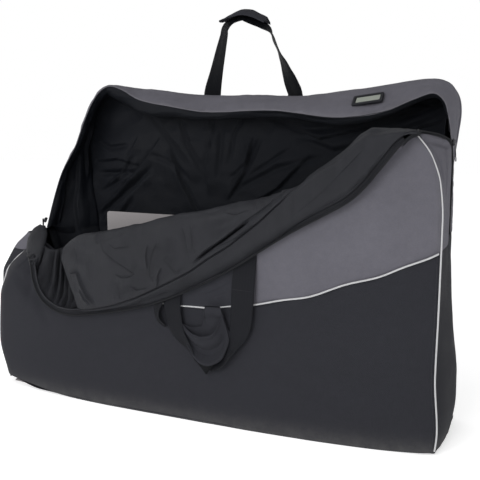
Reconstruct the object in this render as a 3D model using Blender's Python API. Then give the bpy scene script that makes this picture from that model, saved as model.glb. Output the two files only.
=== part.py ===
"""Soft travel bag for a bicycle: an upright fabric bag, zip open, upper front folded outwards over a slanting crest.

Metres, +Z up, +X along the bag, front towards -Y. The origin is on the underside, in the middle of the base.
Fabric panels are thin closed sheets, one object each, laid in layers (outer fabric, padding, lining).
"""

import math

import bmesh
import bpy
from mathutils import Matrix, Vector

# ---------------------------------------------------------------- driving dimensions
LENGTH = 1.28  # bag, end to end
DEPTH = 0.25  # gusset width, front seam to rear seam
HEIGHT = 0.89  # top corners of the rear panel
HALF = LENGTH / 2
SEAM = DEPTH / 2
BELLY = 0.042  # how far the front panel bulges at its foot
REAR_BELLY = 0.012
FABRIC = 0.002  # coated outer fabric
FOAM = 0.004  # padding between fabric and lining
LINING = 0.001
GAP = 0.0008  # between neighbouring sheets
WEB_WIDTH = 0.050
WEB_THICK = 0.0024
PIPING_R = 0.0021
BOARD = 0.004  # stiffening boards

# hinge line of the fold in the front: the straight line along the crest
FOLD_Y = -0.148
FOLD_Z = 0.555  # at x = 0
FOLD_SLOPE = 0.35
FLAP_X0 = -0.440  # where the flap starts on the hinge line

LAYER_1 = FABRIC + GAP
LAYER_2 = LAYER_1 + FOAM + GAP
STACK = LAYER_2 + LINING


def clear_scene():
    for o in list(bpy.data.objects):
        bpy.data.objects.remove(o, do_unlink=True)


# ---------------------------------------------------------------- materials
MATERIALS = {
    "black_fabric": ((0.030, 0.031, 0.037), 0.85, 0.0),
    "grey_fabric": ((0.115, 0.112, 0.127), 0.85, 0.0),
    "lining": ((0.034, 0.036, 0.040), 0.60, 0.0),
    "padding": ((0.20, 0.20, 0.21), 0.95, 0.0),
    "webbing": ((0.014, 0.016, 0.018), 0.75, 0.0),
    "piping": ((0.58, 0.58, 0.58), 0.45, 0.0),
    "zip_tape": ((0.020, 0.021, 0.024), 0.80, 0.0),
    "zip_coil": ((0.025, 0.026, 0.028), 0.45, 0.0),
    "zip_metal": ((0.35, 0.35, 0.36), 0.35, 1.0),
    "board": ((0.225, 0.20, 0.195), 0.80, 0.0),
    "window": ((0.26, 0.29, 0.25), 0.30, 0.0),
    "card": ((0.62, 0.63, 0.60), 0.70, 0.0),
}


def material(slot):
    m = bpy.data.materials.get(slot)
    if m is None:
        colour, rough, metal = MATERIALS[slot]
        m = bpy.data.materials.new(slot)
        m.use_nodes = True
        shader = m.node_tree.nodes["Principled BSDF"]
        shader.inputs["Base Color"].default_value = (*colour, 1)
        shader.inputs["Roughness"].default_value = rough
        shader.inputs["Metallic"].default_value = metal
    return m


# ---------------------------------------------------------------- small tools
def profile(points):
    """A smooth curve y(x) through a few design points, without overshoot."""
    xs = [p[0] for p in points]
    ys = [p[1] for p in points]
    n = len(xs)
    d = [(ys[i + 1] - ys[i]) / (xs[i + 1] - xs[i]) for i in range(n - 1)]
    m = [d[0]] + [0.0 if d[i - 1] * d[i] <= 0 else 2 * d[i - 1] * d[i] / (d[i - 1] + d[i]) for i in range(1, n - 1)] + [d[-1]]

    def value(x):
        if x <= xs[0]:
            return ys[0]
        if x >= xs[-1]:
            return ys[-1]
        i = max(k for k in range(n - 1) if xs[k] <= x)
        h = xs[i + 1] - xs[i]
        t = (x - xs[i]) / h
        return (
            (2 * t**3 - 3 * t**2 + 1) * ys[i]
            + (t**3 - 2 * t**2 + t) * h * m[i]
            + (-2 * t**3 + 3 * t**2) * ys[i + 1]
            + (t**3 - t**2) * h * m[i + 1]
        )

    return value


def route(points):
    """A smooth path through 3-D design points, asked by a share 0 to 1 of its length."""
    pts = [Vector(p) for p in points]
    s = [0.0]
    for a, b in zip(pts, pts[1:]):
        s.append(s[-1] + (b - a).length)
    axes = [profile(list(zip(s, (p[k] for p in pts)))) for k in range(3)]
    return lambda t: Vector([f(t * s[-1]) for f in axes])


def mix(a, b, t):
    return a + (b - a) * t


def sheet(name, slot, f, nu, nv, t0, t1, along=None):
    """A cloth panel: the grid f(u, v) thickened from t0 to t1 along its normal, or along a fixed direction."""
    e = 1e-4
    low, high = [], []
    bm = bmesh.new()
    for i in range(nu + 1):
        for j in range(nv + 1):
            u, v = i / nu, j / nv
            p = f(u, v)
            if along is None:
                du = f(min(u + e, 1), v) - f(max(u - e, 0), v)
                dv = f(u, min(v + e, 1)) - f(u, max(v - e, 0))
                n = du.cross(dv).normalized()
            else:
                n = Vector(along)
            low.append(bm.verts.new(p + n * t0))
            high.append(bm.verts.new(p + n * t1))
    w = nv + 1
    for i in range(nu):
        for j in range(nv):
            a, b, c, d = i * w + j, (i + 1) * w + j, (i + 1) * w + j + 1, i * w + j + 1
            for tri in ((a, b, c), (a, c, d)):  # both skins split along the same diagonal
                bm.faces.new([high[k] for k in tri])
                bm.faces.new([low[k] for k in reversed(tri)])
    rim = [j for j in range(w)] + [i * w + nv for i in range(1, nu + 1)]
    rim += [nu * w + j for j in range(nv - 1, -1, -1)] + [i * w for i in range(nu - 1, 0, -1)]
    for a, b in zip(rim, rim[1:] + rim[:1]):
        bm.faces.new([low[a], low[b], high[b], high[a]])
    return finish_mesh(name, slot, bm)


def finish_mesh(name, slot, bm, origin=None):
    bmesh.ops.recalc_face_normals(bm, faces=bm.faces)
    if origin is not None:
        bmesh.ops.translate(bm, verts=bm.verts, vec=-Vector(origin))
    mesh = bpy.data.meshes.new(name)
    bm.to_mesh(mesh)
    bm.free()
    mesh.shade_smooth()
    mesh.set_sharp_from_angle(angle=math.radians(40))
    mesh.materials.append(material(slot))
    o = bpy.data.objects.new(name, mesh)
    bpy.context.scene.collection.objects.link(o)
    if origin is not None:
        o.location = origin
    return o


def block(name, slot, centre, size, bevel=0.0, turn=(0, 0, 0)):
    bm = bmesh.new()
    bmesh.ops.create_cube(bm, size=1.0)
    bmesh.ops.scale(bm, vec=size, verts=bm.verts)
    o = finish_mesh(name, slot, bm)
    o.location = centre
    o.rotation_euler = turn
    if bevel:
        m = o.modifiers.new("edges", "BEVEL")
        m.width = bevel
        m.segments = 1
    return o


def tube(name, slot, f, n, radius, sides=1):
    """Round piping or cord along the path f(t), ends closed."""
    c = bpy.data.curves.new(name, "CURVE")
    c.dimensions = "3D"
    c.resolution_u = 1
    c.render_resolution_u = 0
    c.bevel_depth = radius
    c.bevel_resolution = sides
    c.use_fill_caps = True
    s = c.splines.new("POLY")
    s.points.add(n)
    for i in range(n + 1):
        s.points[i].co = (*f(i / n), 1.0)
    c.materials.append(material(slot))
    o = bpy.data.objects.new(name, c)
    bpy.context.scene.collection.objects.link(o)
    return o


def pivot(name, place):
    e = bpy.data.objects.new(name, None)
    e.empty_display_size = 0.03
    e.location = place
    bpy.context.scene.collection.objects.link(e)
    return e


def hang(child, parent):
    bpy.context.view_layer.update()
    child.parent = parent
    child.matrix_parent_inverse = parent.matrix_world.inverted()


# ---------------------------------------------------------------- the bag's outline
edge_left = profile(
    [(0.0, -0.636), (0.13, -0.660), (0.27, -0.650), (0.38, -0.615), (0.48, -0.566), (0.65, -0.535), (0.77, -0.485), (0.87, -0.425)]
)
bulge_right = profile([(0.0, 0.010), (0.13, 0.024), (0.30, 0.010), (0.50, 0.0), (0.90, 0.0)])
wave = profile([(-0.66, 0.45), (-0.50, 0.40), (-0.30, 0.345), (0.03, 0.305), (0.27, 0.35), (0.50, 0.426), (0.64, 0.49)])
shoulder = profile([(-0.66, 0.30), (-0.63, 0.34), (-0.585, 0.42), (-0.53, 0.455), (-0.47, 0.41)])
crest = profile([(-0.47, 0.41), (-0.34, 0.475), (-0.13, 0.52), (0.10, 0.575), (0.30, 0.635), (0.45, 0.755), (0.52, 0.77), (0.64, 0.75)])
zip_edge = profile([(-0.44, 0.285), (-0.36, 0.256), (-0.19, 0.282), (-0.03, 0.335), (0.14, 0.423), (0.31, 0.531), (0.44, 0.605), (0.57, 0.735)])
crease = profile([(-0.44, 0.290), (-0.31, 0.275), (-0.15, 0.318), (0.02, 0.406), (0.21, 0.535), (0.33, 0.62), (0.44, 0.675), (0.57, 0.742)])
rear_top = profile([(-0.44, 0.865), (-0.36, 0.876), (-0.09, 0.854), (0.20, 0.850), (0.37, 0.868), (0.54, 0.886), (0.60, 0.870), (0.64, 0.820)])


def edge_right(z):
    return 0.638


def fold_z(x):
    return FOLD_Z + FOLD_SLOPE * x


def front_y(x, z):
    return -(SEAM + BELLY * max(0.0, 1 - (x / 0.66) ** 2) * (1 - 0.55 * z / HEIGHT))


def rear_y(x, z):
    return SEAM + REAR_BELLY * max(0.0, 1 - (x / 0.66) ** 2) * (1 - z / HEIGHT)


def front_top(x):
    """Upper edge of the standing front panel: the left shoulder, then just under the fold's hinge line."""
    if x < -0.47:
        return shoulder(x) - 0.004
    return min(crest(x), fold_z(x)) - 0.022


def across(u, z, inset=0.0):
    return mix(edge_left(z) + inset, edge_right(z) - inset, u)


def front_panel(z0, z1):
    def f(u, v):
        z = 0.3
        for _ in range(30):
            x = across(u, z)
            z = 0.5 * z + 0.5 * mix(z0(x), z1(x), v)
        x = across(u, z)
        return Vector((x, front_y(x, z), z))

    return f


def rear_panel(z0, z1):
    def f(u, v):
        z = 0.3
        for _ in range(30):
            x = across(u, z)
            z = 0.5 * z + 0.5 * mix(z0(x), z1(x), v)
        x = across(u, z)
        return Vector((x, rear_y(x, z), z))

    return f


FLOOR = 0.0036  # walls stand on the base panel
COLS = 10


def build_base():
    def plan(inset, z):
        def f(u, v):
            x = mix(-0.634 + inset, 0.634 - inset, u)
            return Vector((x, mix(front_y(x, 0.0) + inset, rear_y(x, 0.0) - inset, v), z))

        return f

    sheet("base_panel", "black_fabric", plan(0.0, 0.0), COLS, 2, 0.0, 0.003, (0, 0, 1))
    sheet("base_board", "board", plan(0.014, 0.0036), COLS, 2, 0.0, BOARD, (0, 0, 1))
    sheet("floor_lining", "lining", plan(0.014, 0.0036 + BOARD + GAP), COLS, 2, 0.0, 0.0012, (0, 0, 1))


def build_front():
    y = (0, 1, 0)
    foot = lambda x: FLOOR
    # left of the wave's start the black fabric runs up to the shoulder
    under_wave = lambda x: (wave(x) if x > -0.37 else front_top(x)) - 0.0006
    inner = front_panel(lambda x: 0.012, lambda x: front_top(x) - 0.004)
    over = front_panel(lambda x: wave(x) + 0.0006, front_top)
    sheet("front_panel_lower", "black_fabric", front_panel(foot, under_wave), COLS, 3, 0.0, FABRIC, y)
    sheet("front_panel_upper", "grey_fabric", lambda u, v: over(mix(0.2, 1.0, u), v), COLS - 2, 2, 0.0, FABRIC, y)
    sheet("front_padding", "padding", inner, COLS, 3, LAYER_1, LAYER_1 + FOAM, y)
    sheet("front_lining", "lining", inner, COLS, 3, LAYER_2, STACK, y)

    out = PIPING_R + 0.0005
    tube("piping_wave", "piping", lambda t: Vector((mix(-0.33, 0.622, t), front_y(mix(-0.33, 0.622, t), wave(mix(-0.33, 0.622, t))) - out, wave(mix(-0.33, 0.622, t)))), 20, PIPING_R)
    right = route([(0.634, 0, 0.010), (0.636, 0, 0.20), (0.636, 0, 0.40), (0.637, 0, 0.56), (0.628, 0, 0.64), (0.612, 0, 0.69)])
    tube("piping_front_right", "piping", lambda t: Vector((right(t).x, front_y(right(t).x, right(t).z) - out, right(t).z)), 12, PIPING_R)
    left = lambda t: mix(0.010, 0.41, t)
    tube("piping_front_left", "piping", lambda t: Vector((edge_left(left(t)) + 0.004, front_y(-0.62, left(t)) - out, left(t))), 10, PIPING_R)


def build_rear():
    y = (0, -1, 0)
    foot = lambda x: FLOOR
    seam = lambda x: 0.47
    top = lambda x: rear_top(x) - 0.011
    sheet("rear_panel_lower", "black_fabric", rear_panel(foot, lambda x: seam(x) - 0.0004), COLS, 3, 0.0, FABRIC, y)
    sheet("rear_panel_upper", "grey_fabric", rear_panel(lambda x: seam(x) + 0.0004, top), COLS, 3, 0.0, FABRIC, y)
    inner = rear_panel(lambda x: 0.012, lambda x: top(x) - 0.006)
    sheet("rear_padding", "padding", inner, COLS, 4, LAYER_1, LAYER_1 + FOAM, y)
    sheet("rear_lining", "lining", inner, COLS, 4, LAYER_2, STACK, y)
    out = PIPING_R + 0.0005
    tube("piping_rear_seam", "piping", lambda t: Vector((across(mix(0.01, 0.99, t), 0.47), rear_y(across(mix(0.01, 0.99, t), 0.47), 0.47) + out, 0.47)), 10, PIPING_R)
    up = lambda t: mix(0.010, 0.80, t)
    tube("piping_rear_left", "piping", lambda t: Vector((edge_left(up(t)) + 0.005, SEAM + 0.0048, up(t))), 12, PIPING_R)
    tube("piping_rear_right", "piping", lambda t: Vector((0.633, SEAM + 0.0048, up(t))), 8, PIPING_R)


INNER = SEAM - STACK - GAP - 0.0002  # half width of the gussets between the panels


def left_wall(z0, z1, y0=None, y1=None):
    def f(u, v):
        y = mix(-INNER if y0 is None else y0, INNER - 0.006 if y1 is None else y1, u)
        z = mix(z0, z1, v)
        return Vector((edge_left(z) + 0.0015, y, z))

    return f


def right_wall(z0, z1, y0, y1):
    def f(u, v):
        y, z = mix(y0, y1, u), mix(z0, z1, v)
        return Vector((0.638 + bulge_right(z) * (1 - (y / SEAM) ** 2), y, z))

    return f


def build_sides():
    sheet("left_gusset_lower", "black_fabric", left_wall(FLOOR, 0.399), 4, 5, 0.0, FABRIC, (1, 0, 0))
    sheet("left_gusset_upper", "grey_fabric", left_wall(0.400, 0.455), 4, 1, 0.0, FABRIC, (1, 0, 0))
    sheet("left_gusset_lining", "lining", left_wall(0.012, 0.450), 4, 5, LAYER_1 + 0.004, LAYER_1 + 0.004 + LINING, (1, 0, 0))

    def rear_half(u, v):
        z = mix(0.462, 0.852, v)
        y = mix(0.002, INNER - 0.006, u)
        lean = profile([(0.46, -0.006), (0.60, 0.030), (0.71, 0.062), (0.80, 0.070), (0.86, 0.070)])(z)
        return Vector((edge_left(z) + 0.0015 + lean * (1 - u) ** 1.5, y, z))

    sheet("left_gusset_rear_half", "grey_fabric", rear_half, 4, 6, 0.0, FABRIC, (1, 0, 0))
    sheet("left_gusset_rear_lining", "lining", rear_half, 4, 6, LAYER_1 + 0.004, LAYER_1 + 0.004 + LINING, (1, 0, 0))

    def ear(u, v):
        a = math.pi * (v - 0.5)
        half = 0.021 * math.sqrt(max(0.0, 1 - (2 * v - 1) ** 4)) + 0.004
        x = -0.518 + (2 * u - 1) * half
        return Vector((x, -0.1475 - 0.010 * math.cos(a) * (1 - (2 * u - 1) ** 2), mix(0.345, 0.492, v)))

    sheet("left_gusset_turned_out", "lining", ear, 4, 6, 0.0, 0.003, (0, -1, 0))

    sheet("right_gusset_lower", "black_fabric", right_wall(FLOOR, 0.4894, -INNER, INNER), 6, 4, 0.0, FABRIC, (-1, 0, 0))
    sheet("right_gusset_front_half", "grey_fabric", right_wall(0.4906, 0.735, -INNER, -0.0065), 3, 3, 0.0, FABRIC, (-1, 0, 0))
    sheet("right_gusset_rear_half", "grey_fabric", right_wall(0.4906, 0.800, 0.0065, INNER), 3, 4, 0.0, FABRIC, (-1, 0, 0))
    sheet("right_gusset_lining", "lining", right_wall(0.012, 0.700, -INNER, INNER), 6, 5, LAYER_1 + 0.004, LAYER_1 + 0.004 + LINING, (-1, 0, 0))


rear_seam = route([(-0.40, 0.118, 0.878), (-0.20, 0.120, 0.862), (0.0, 0.120, 0.853), (0.20, 0.120, 0.850), (0.37, 0.120, 0.868), (0.50, 0.120, 0.884), (0.575, 0.120, 0.884), (0.612, 0.120, 0.862), (0.630, 0.120, 0.815)])
free_edge = route([(-0.37, 0.030, 0.876), (-0.22, 0.008, 0.840), (-0.03, 0.004, 0.808), (0.17, 0.004, 0.812), (0.34, 0.004, 0.794), (0.47, 0.004, 0.808), (0.56, 0.006, 0.846), (0.598, 0.006, 0.842), (0.622, 0.006, 0.805)])


def strip(u, v):
    """Rear half of the top gusset, drooping from the rear seam to its free zip edge."""
    p = mix(rear_seam(u), free_edge(u), v)
    p.z += 0.004 * math.sin(math.pi * v)
    return p


def build_top():
    up = (0, 0, -1)
    sheet("top_gusset_rear", "grey_fabric", strip, 18, 4, 0.0, FABRIC, up)
    sheet("top_gusset_lining", "lining", lambda u, v: strip(mix(0.01, 0.93, u), mix(0.02, 0.98, v)), 18, 4, LAYER_1 + 0.008, LAYER_1 + 0.008 + LINING, up)

    def tape(u, v):
        p = free_edge(mix(0.03, 0.97, u)).copy()
        p.y -= 0.0010 + 0.012 * v
        p.z -= 0.0010 + 0.004 * v
        return p

    sheet("zip_tape_rear", "zip_tape", tape, 24, 1, 0.0, 0.0012, up)

    def coil(t):
        p = free_edge(mix(0.03, 0.97, t)).copy()
        p.y -= 0.0165
        p.z -= 0.0070
        return p

    tube("zip_coil_rear", "zip_coil", coil, 24, 0.0021)
    tube("zip_coil_right", "zip_coil", lambda t: Vector((0.6400, 0.0, mix(0.560, 0.720, t))), 4, 0.0021)
    sheet("zip_tape_right", "zip_tape", lambda u, v: Vector((0.6362, mix(-0.0055, 0.0055, u), mix(0.495, 0.790, v))), 1, 3, -0.0004, 0.0002, (1, 0, 0))
    tube("zip_coil_left", "zip_coil", lambda t: left_zip(mix(0.06, 1.0, t)), 6, 0.0021)

    # address window on the strip: frame, slot for the card, and the card
    at, e = (0.764, 0.60), 0.02
    across_strip = (strip(at[0], at[1] - e) - strip(at[0], at[1] + e)).normalized()
    along_strip = (strip(at[0] + e, at[1]) - strip(at[0] - e, at[1])).normalized()
    normal = along_strip.cross(across_strip).normalized()
    across_strip = normal.cross(along_strip)
    turn = Matrix((along_strip, across_strip, normal)).transposed().to_euler()
    frame_at = strip(*at) + normal * 0.0078
    frame = block("label_frame", "webbing", frame_at, (0.080, 0.042, 0.0050), turn=turn)
    slot = block("label_slot", "webbing", frame_at + along_strip * 0.054, (0.178, 0.028, 0.0022), turn=turn)
    hole = block("label_hole", "webbing", frame_at + normal * 0.003, (0.062, 0.024, 0.0060), turn=turn)
    for cutter in (slot, hole):
        cutter.hide_render = True
        cutter.display_type = "WIRE"
        m = frame.modifiers.new("cut", "BOOLEAN")
        m.operation = "DIFFERENCE"
        m.object = cutter
        m.solver = "EXACT"
    block("address_card", "card", frame_at + along_strip * 0.003, (0.068, 0.0265, 0.0008), turn=turn)


left_zip = lambda t: Vector((mix(-0.566, -0.500, t), -0.004, mix(0.480, 0.655, t)))


def build_divider():
    sheet("divider_board", "board", lambda u, v: Vector((mix(-0.312, -0.03, u), -0.060, mix(0.0105, 0.530, v))), 2, 3, 0.0, 0.005, (0, 1, 0))


# ---------------------------------------------------------------- the folded-out flap
def flap_y(x, z):
    """Hidden side of the flap: clear of the standing panel and of the hinge line."""
    return -max(-front_y(x, z) + 0.016, 0.165)


def flap_left(z):
    """The flap's left end is square to the hinge line, so that it swings in one plane beside the bunched gusset."""
    return FLAP_X0 + FOLD_SLOPE * (fold_z(FLAP_X0) - z)


def flap_sheet(x1, z0, z1, puff=0.010):
    def f(u, v):
        z = 0.35
        for _ in range(30):
            x = mix(flap_left(z), x1, u)
            z = 0.5 * z + 0.5 * mix(z0(x), z1(x), v)
        x = mix(flap_left(z), x1, u)
        k = math.sin(math.pi * min(1.0, max(0.0, (z - zip_edge(x)) / max(0.02, fold_z(x) - zip_edge(x)))))
        return Vector((x, flap_y(x, z) - puff * k, z))

    return f


def build_flap():
    y = (0, -1, 0)
    hinge = pivot("flap_pivot", (0.0, FOLD_Y, FOLD_Z))
    bpy.context.view_layer.update()
    top = lambda x: fold_z(x) - 0.004
    low = lambda x: zip_edge(x) + 0.004
    seam = lambda x: min(crease(x), fold_z(x) - 0.02)
    gusset_top = lambda x: max(seam(x) - 0.0006, low(x) + 0.004)
    panel_low = lambda x: gusset_top(x) + 0.0012
    x0, x1 = FLAP_X0 + 0.053, 0.560
    parts = [
        sheet("flap_panel", "grey_fabric", flap_sheet(x1, panel_low, top), COLS, 3, 0.0, FABRIC, y),
        sheet("flap_padding", "padding", flap_sheet(x1, panel_low, top), COLS, 3, LAYER_1, LAYER_1 + FOAM, y),
        sheet("flap_lining", "lining", flap_sheet(x1, panel_low, top), COLS, 3, LAYER_2, STACK, y),
        sheet("flap_gusset", "grey_fabric", flap_sheet(x1, low, gusset_top), COLS, 1, 0.0, FABRIC, y),
        sheet("flap_gusset_lining", "lining", flap_sheet(x1, low, gusset_top), COLS, 1, LAYER_2, STACK, y),
    ]

    def tape(u, v):
        x = mix(x0, x1, u)
        z = zip_edge(x) + mix(0.0034, -0.0080, v)
        return Vector((x, flap_y(x, zip_edge(x)) - 0.0038, z))

    parts.append(sheet("zip_tape_front", "zip_tape", tape, COLS * 2, 1, 0.0, 0.0012, y))

    def coil(t):
        x = mix(x0, x1, t)
        return Vector((x, flap_y(x, zip_edge(x)) - 0.0078, zip_edge(x) - 0.0062))

    parts.append(tube("zip_coil_front", "zip_coil", coil, COLS * 2, 0.0021))
    for o in parts:
        hang(o, hinge)

    # webbing sewn to the outer fabric, from which the front carrying handle hangs
    for side, x in (("left", -0.041), ("right", 0.165)):
        def f(u, v, x=x):
            xx = mix(x - 0.024, x + 0.024, u)
            z = mix(zip_edge(x) + 0.032, zip_edge(x) + 0.085, v)
            return Vector((xx, max(flap_y(xx, z), flap_y(x, z)) + 0.0012, z))

        hang(sheet("front_handle_anchor_" + side, "webbing", f, 2, 2, 0.0, WEB_THICK, (0, 1, 0)), hinge)


# ---------------------------------------------------------------- carrying handles
def band(name, path, width, n, y0, thick, slot="webbing", share=(0.0, 1.0), origin=None):
    """Flat webbing lying in an upright plane, following a path, its width across the path."""

    def f(u, v):
        t = mix(share[0], share[1], u)
        p = path(t)
        e = 0.01
        d = path(min(1, t + e)) - path(max(0, t - e))
        side = Vector((-d.z, 0, d.x)).normalized()
        w = width(t) if callable(width) else width
        return Vector((p.x, y0, p.z)) + side * w * (v - 0.5)

    return sheet(name, slot, f, n, 1, 0.0, thick, (0, 1, 0))


def grip(name, path, share, n, radius, y0, flat=1.0):
    """The padded wrap that holds the two webbing legs together: a tube with an oval section round the path."""
    c = bmesh.new()
    rings = []
    k = 8
    for i in range(n + 1):
        t = mix(share[0], share[1], i / n)
        p = path(t)
        d = path(min(1, t + 0.01)) - path(max(0, t - 0.01))
        side = Vector((-d.z, 0, d.x)).normalized()
        ring = []
        for j in range(k):
            a = 2 * math.pi * (j + 0.5) / k
            ring.append(c.verts.new(Vector((p.x, y0, p.z)) + side * radius * math.cos(a) + Vector((0, radius * flat * math.sin(a), 0))))
        rings.append(ring)
    for r0, r1 in zip(rings, rings[1:]):
        for j in range(k):
            c.faces.new([r0[j], r0[(j + 1) % k], r1[(j + 1) % k], r1[j]])
    c.faces.new(rings[0][::-1])
    c.faces.new(rings[-1])
    return finish_mesh(name, "webbing", c)


REAR_HINGE = (0.06, 0.1310, 0.862)
rear_loop = route([(-0.068, 0, 0.866), (-0.052, 0, 0.95), (-0.034, 0, 1.02), (0.0, 0, 1.062), (0.050, 0, 1.072), (0.092, 0, 1.050), (0.115, 0, 1.00), (0.145, 0, 0.93), (0.188, 0, 0.866)])
front_loop = route([(-0.046, 0, 0.306), (-0.034, 0, 0.25), (-0.008, 0, 0.20), (0.030, 0, 0.165), (0.062, 0, 0.158), (0.094, 0, 0.170), (0.132, 0, 0.215), (0.156, 0, 0.28), (0.165, 0, 0.398)])
FRONT_HINGE = (0.060, -0.1773, 0.352)


def build_handles():
    rear = pivot("rear_handle_pivot", REAR_HINGE)
    front = pivot("front_handle_pivot", FRONT_HINGE)
    bpy.context.view_layer.update()
    width = lambda t: mix(WEB_WIDTH, 0.030, math.exp(-(((t - 0.5) / 0.17) ** 4)))
    for side, a, b in (("left", 0.0, 0.40), ("right", 0.60, 1.0)):
        hang(band("rear_handle_leg_" + side, rear_loop, width, 8, 0.1296, WEB_THICK, share=(a, b)), rear)
        hang(band("front_handle_leg_" + side, front_loop, width, 8, -0.1785, WEB_THICK, share=(a, b)), front)
    hang(grip("rear_handle_grip", rear_loop, (0.402, 0.598), 6, 0.018, 0.1308, 0.75), rear)
    hang(grip("front_handle_grip", front_loop, (0.402, 0.598), 6, 0.022, -0.1875, 0.60), front)
    for side, x in (("left", -0.066), ("right", 0.186)):
        def f(u, v, x=x):
            xx = mix(x - 0.025, x + 0.025, u)
            z = mix(0.70, 0.848, v)
            return Vector((xx, SEAM + REAR_BELLY * (1 - z / HEIGHT) + 0.0008, z))

        sheet("rear_handle_anchor_" + side, "webbing", f, 2, 2, 0.0, WEB_THICK, (0, 1, 0))


# ---------------------------------------------------------------- zip sliders and their pulls
def build_sliders():
    # right: where the rear half's zip comes down the end of the bag
    right = pivot("right_slider_start", (0.644, 0.0, 0.742))
    left = pivot("left_slider_start", (-0.572, -0.006, 0.490))
    bpy.context.view_layer.update()
    body = block("zip_slider_right", "zip_metal", (0.6425, 0.0, 0.736), (0.0080, 0.012, 0.018), 0.0015)
    hang(body, right)
    pull = block("zip_pull_right", "zip_metal", (0.6500, 0.0, 0.714), (0.0035, 0.0060, 0.046), 0.001)
    hang(pull, body)
    body = block("zip_slider_left", "zip_metal", (-0.5720, -0.006, 0.490), (0.0080, 0.012, 0.018), 0.0015)
    hang(body, left)
    pull = block("zip_pull_left", "zip_metal", (-0.5835, -0.006, 0.470), (0.0035, 0.0060, 0.038), 0.001)
    hang(pull, body)


def main():
    clear_scene()
    build_base()
    build_front()
    build_rear()
    build_sides()
    build_top()
    build_divider()
    build_flap()
    build_handles()
    build_sliders()
    bpy.context.view_layer.update()


main()
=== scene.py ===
import math

import bpy
import numpy as np
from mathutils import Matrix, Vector


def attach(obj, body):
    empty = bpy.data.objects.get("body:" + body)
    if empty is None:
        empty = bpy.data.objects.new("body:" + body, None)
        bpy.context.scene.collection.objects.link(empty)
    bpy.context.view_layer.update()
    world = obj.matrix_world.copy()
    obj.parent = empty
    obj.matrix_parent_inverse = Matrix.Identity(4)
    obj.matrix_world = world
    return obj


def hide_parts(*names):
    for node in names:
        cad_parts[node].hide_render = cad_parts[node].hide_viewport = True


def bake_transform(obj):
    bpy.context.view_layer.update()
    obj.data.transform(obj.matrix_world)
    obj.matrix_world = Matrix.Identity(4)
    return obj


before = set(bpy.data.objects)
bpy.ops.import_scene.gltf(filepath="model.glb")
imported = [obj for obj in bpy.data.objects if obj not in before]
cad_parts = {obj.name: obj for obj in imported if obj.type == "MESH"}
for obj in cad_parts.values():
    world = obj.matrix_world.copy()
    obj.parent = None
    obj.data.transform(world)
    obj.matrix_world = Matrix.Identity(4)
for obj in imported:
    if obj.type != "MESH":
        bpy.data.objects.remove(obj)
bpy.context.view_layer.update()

scene = bpy.context.scene

# Soft travel bag, zip open, upper front folded outwards. Metres, +Z up, front towards -Y.
# Every fabric piece is a grid of points with its own folds, closed to a thin sheet, with its weave laid out in metres.


# ---------------------------------------------------------------- curves
def prof(points):
    """Smooth y(x) through design points, without overshoot, for numpy arrays."""
    xs = np.array([p[0] for p in points], float)
    ys = np.array([p[1] for p in points], float)
    d = np.diff(ys) / np.diff(xs)
    m = np.zeros(len(xs))
    m[0], m[-1] = d[0], d[-1]
    for i in range(1, len(xs) - 1):
        m[i] = 0.0 if d[i - 1] * d[i] <= 0 else 2 * d[i - 1] * d[i] / (d[i - 1] + d[i])

    def value(x):
        x = np.clip(np.asarray(x, float), xs[0], xs[-1])
        i = np.clip(np.searchsorted(xs, x, side="right") - 1, 0, len(xs) - 2)
        h = xs[i + 1] - xs[i]
        t = (x - xs[i]) / h
        return (
            (2 * t**3 - 3 * t**2 + 1) * ys[i]
            + (t**3 - 2 * t**2 + t) * h * m[i]
            + (-2 * t**3 + 3 * t**2) * ys[i + 1]
            + (t**3 - t**2) * h * m[i + 1]
        )

    return value


def spline(points, knots=None):
    """Catmull-Rom through points (k, ..., 3), asked by 0 to 1 of the knots (chord length if not given)."""
    p = np.array(points, float)
    if knots is None:
        flat = p.reshape(len(p), -1)
        knots = np.concatenate([[0.0], np.cumsum(np.linalg.norm(np.diff(flat, axis=0), axis=1))])
    k = np.array(knots, float)
    k = k / k[-1]
    m = np.zeros_like(p)
    for i in range(len(p)):
        a, b = max(i - 1, 0), min(i + 1, len(p) - 1)
        m[i] = (p[b] - p[a]) / (k[b] - k[a])

    def value(t):
        t = np.clip(np.asarray(t, float), 0, 1)
        i = np.clip(np.searchsorted(k, t, side="right") - 1, 0, len(k) - 2)
        h = k[i + 1] - k[i]
        s = (t - k[i]) / h
        grow = (slice(None),) * s.ndim + (None,) * (p.ndim - 1)
        s, h = s[grow], h[grow]
        return (
            (2 * s**3 - 3 * s**2 + 1) * p[i]
            + (s**3 - 2 * s**2 + s) * h * m[i]
            + (-2 * s**3 + 3 * s**2) * p[i + 1]
            + (s**3 - s**2) * h * m[i + 1]
        )

    return value


def smooth(a, b, x):
    t = np.clip((np.asarray(x, float) - a) / (b - a), 0, 1)
    return t * t * (3 - 2 * t)


def mix(a, b, t):
    return a + (b - a) * t


def even(points, step):
    """A polyline resampled to equal steps."""
    p = np.array(points, float)
    s = np.concatenate([[0.0], np.cumsum(np.linalg.norm(np.diff(p, axis=0), axis=1))])
    n = max(2, int(round(s[-1] / step)) + 1)
    q = np.linspace(0, s[-1], n)
    return np.stack([np.interp(q, s, p[:, k]) for k in range(3)], axis=1)


# ---------------------------------------------------------------- folds and small unevenness
_table = np.random.default_rng(11).random((32, 32, 32))


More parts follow.
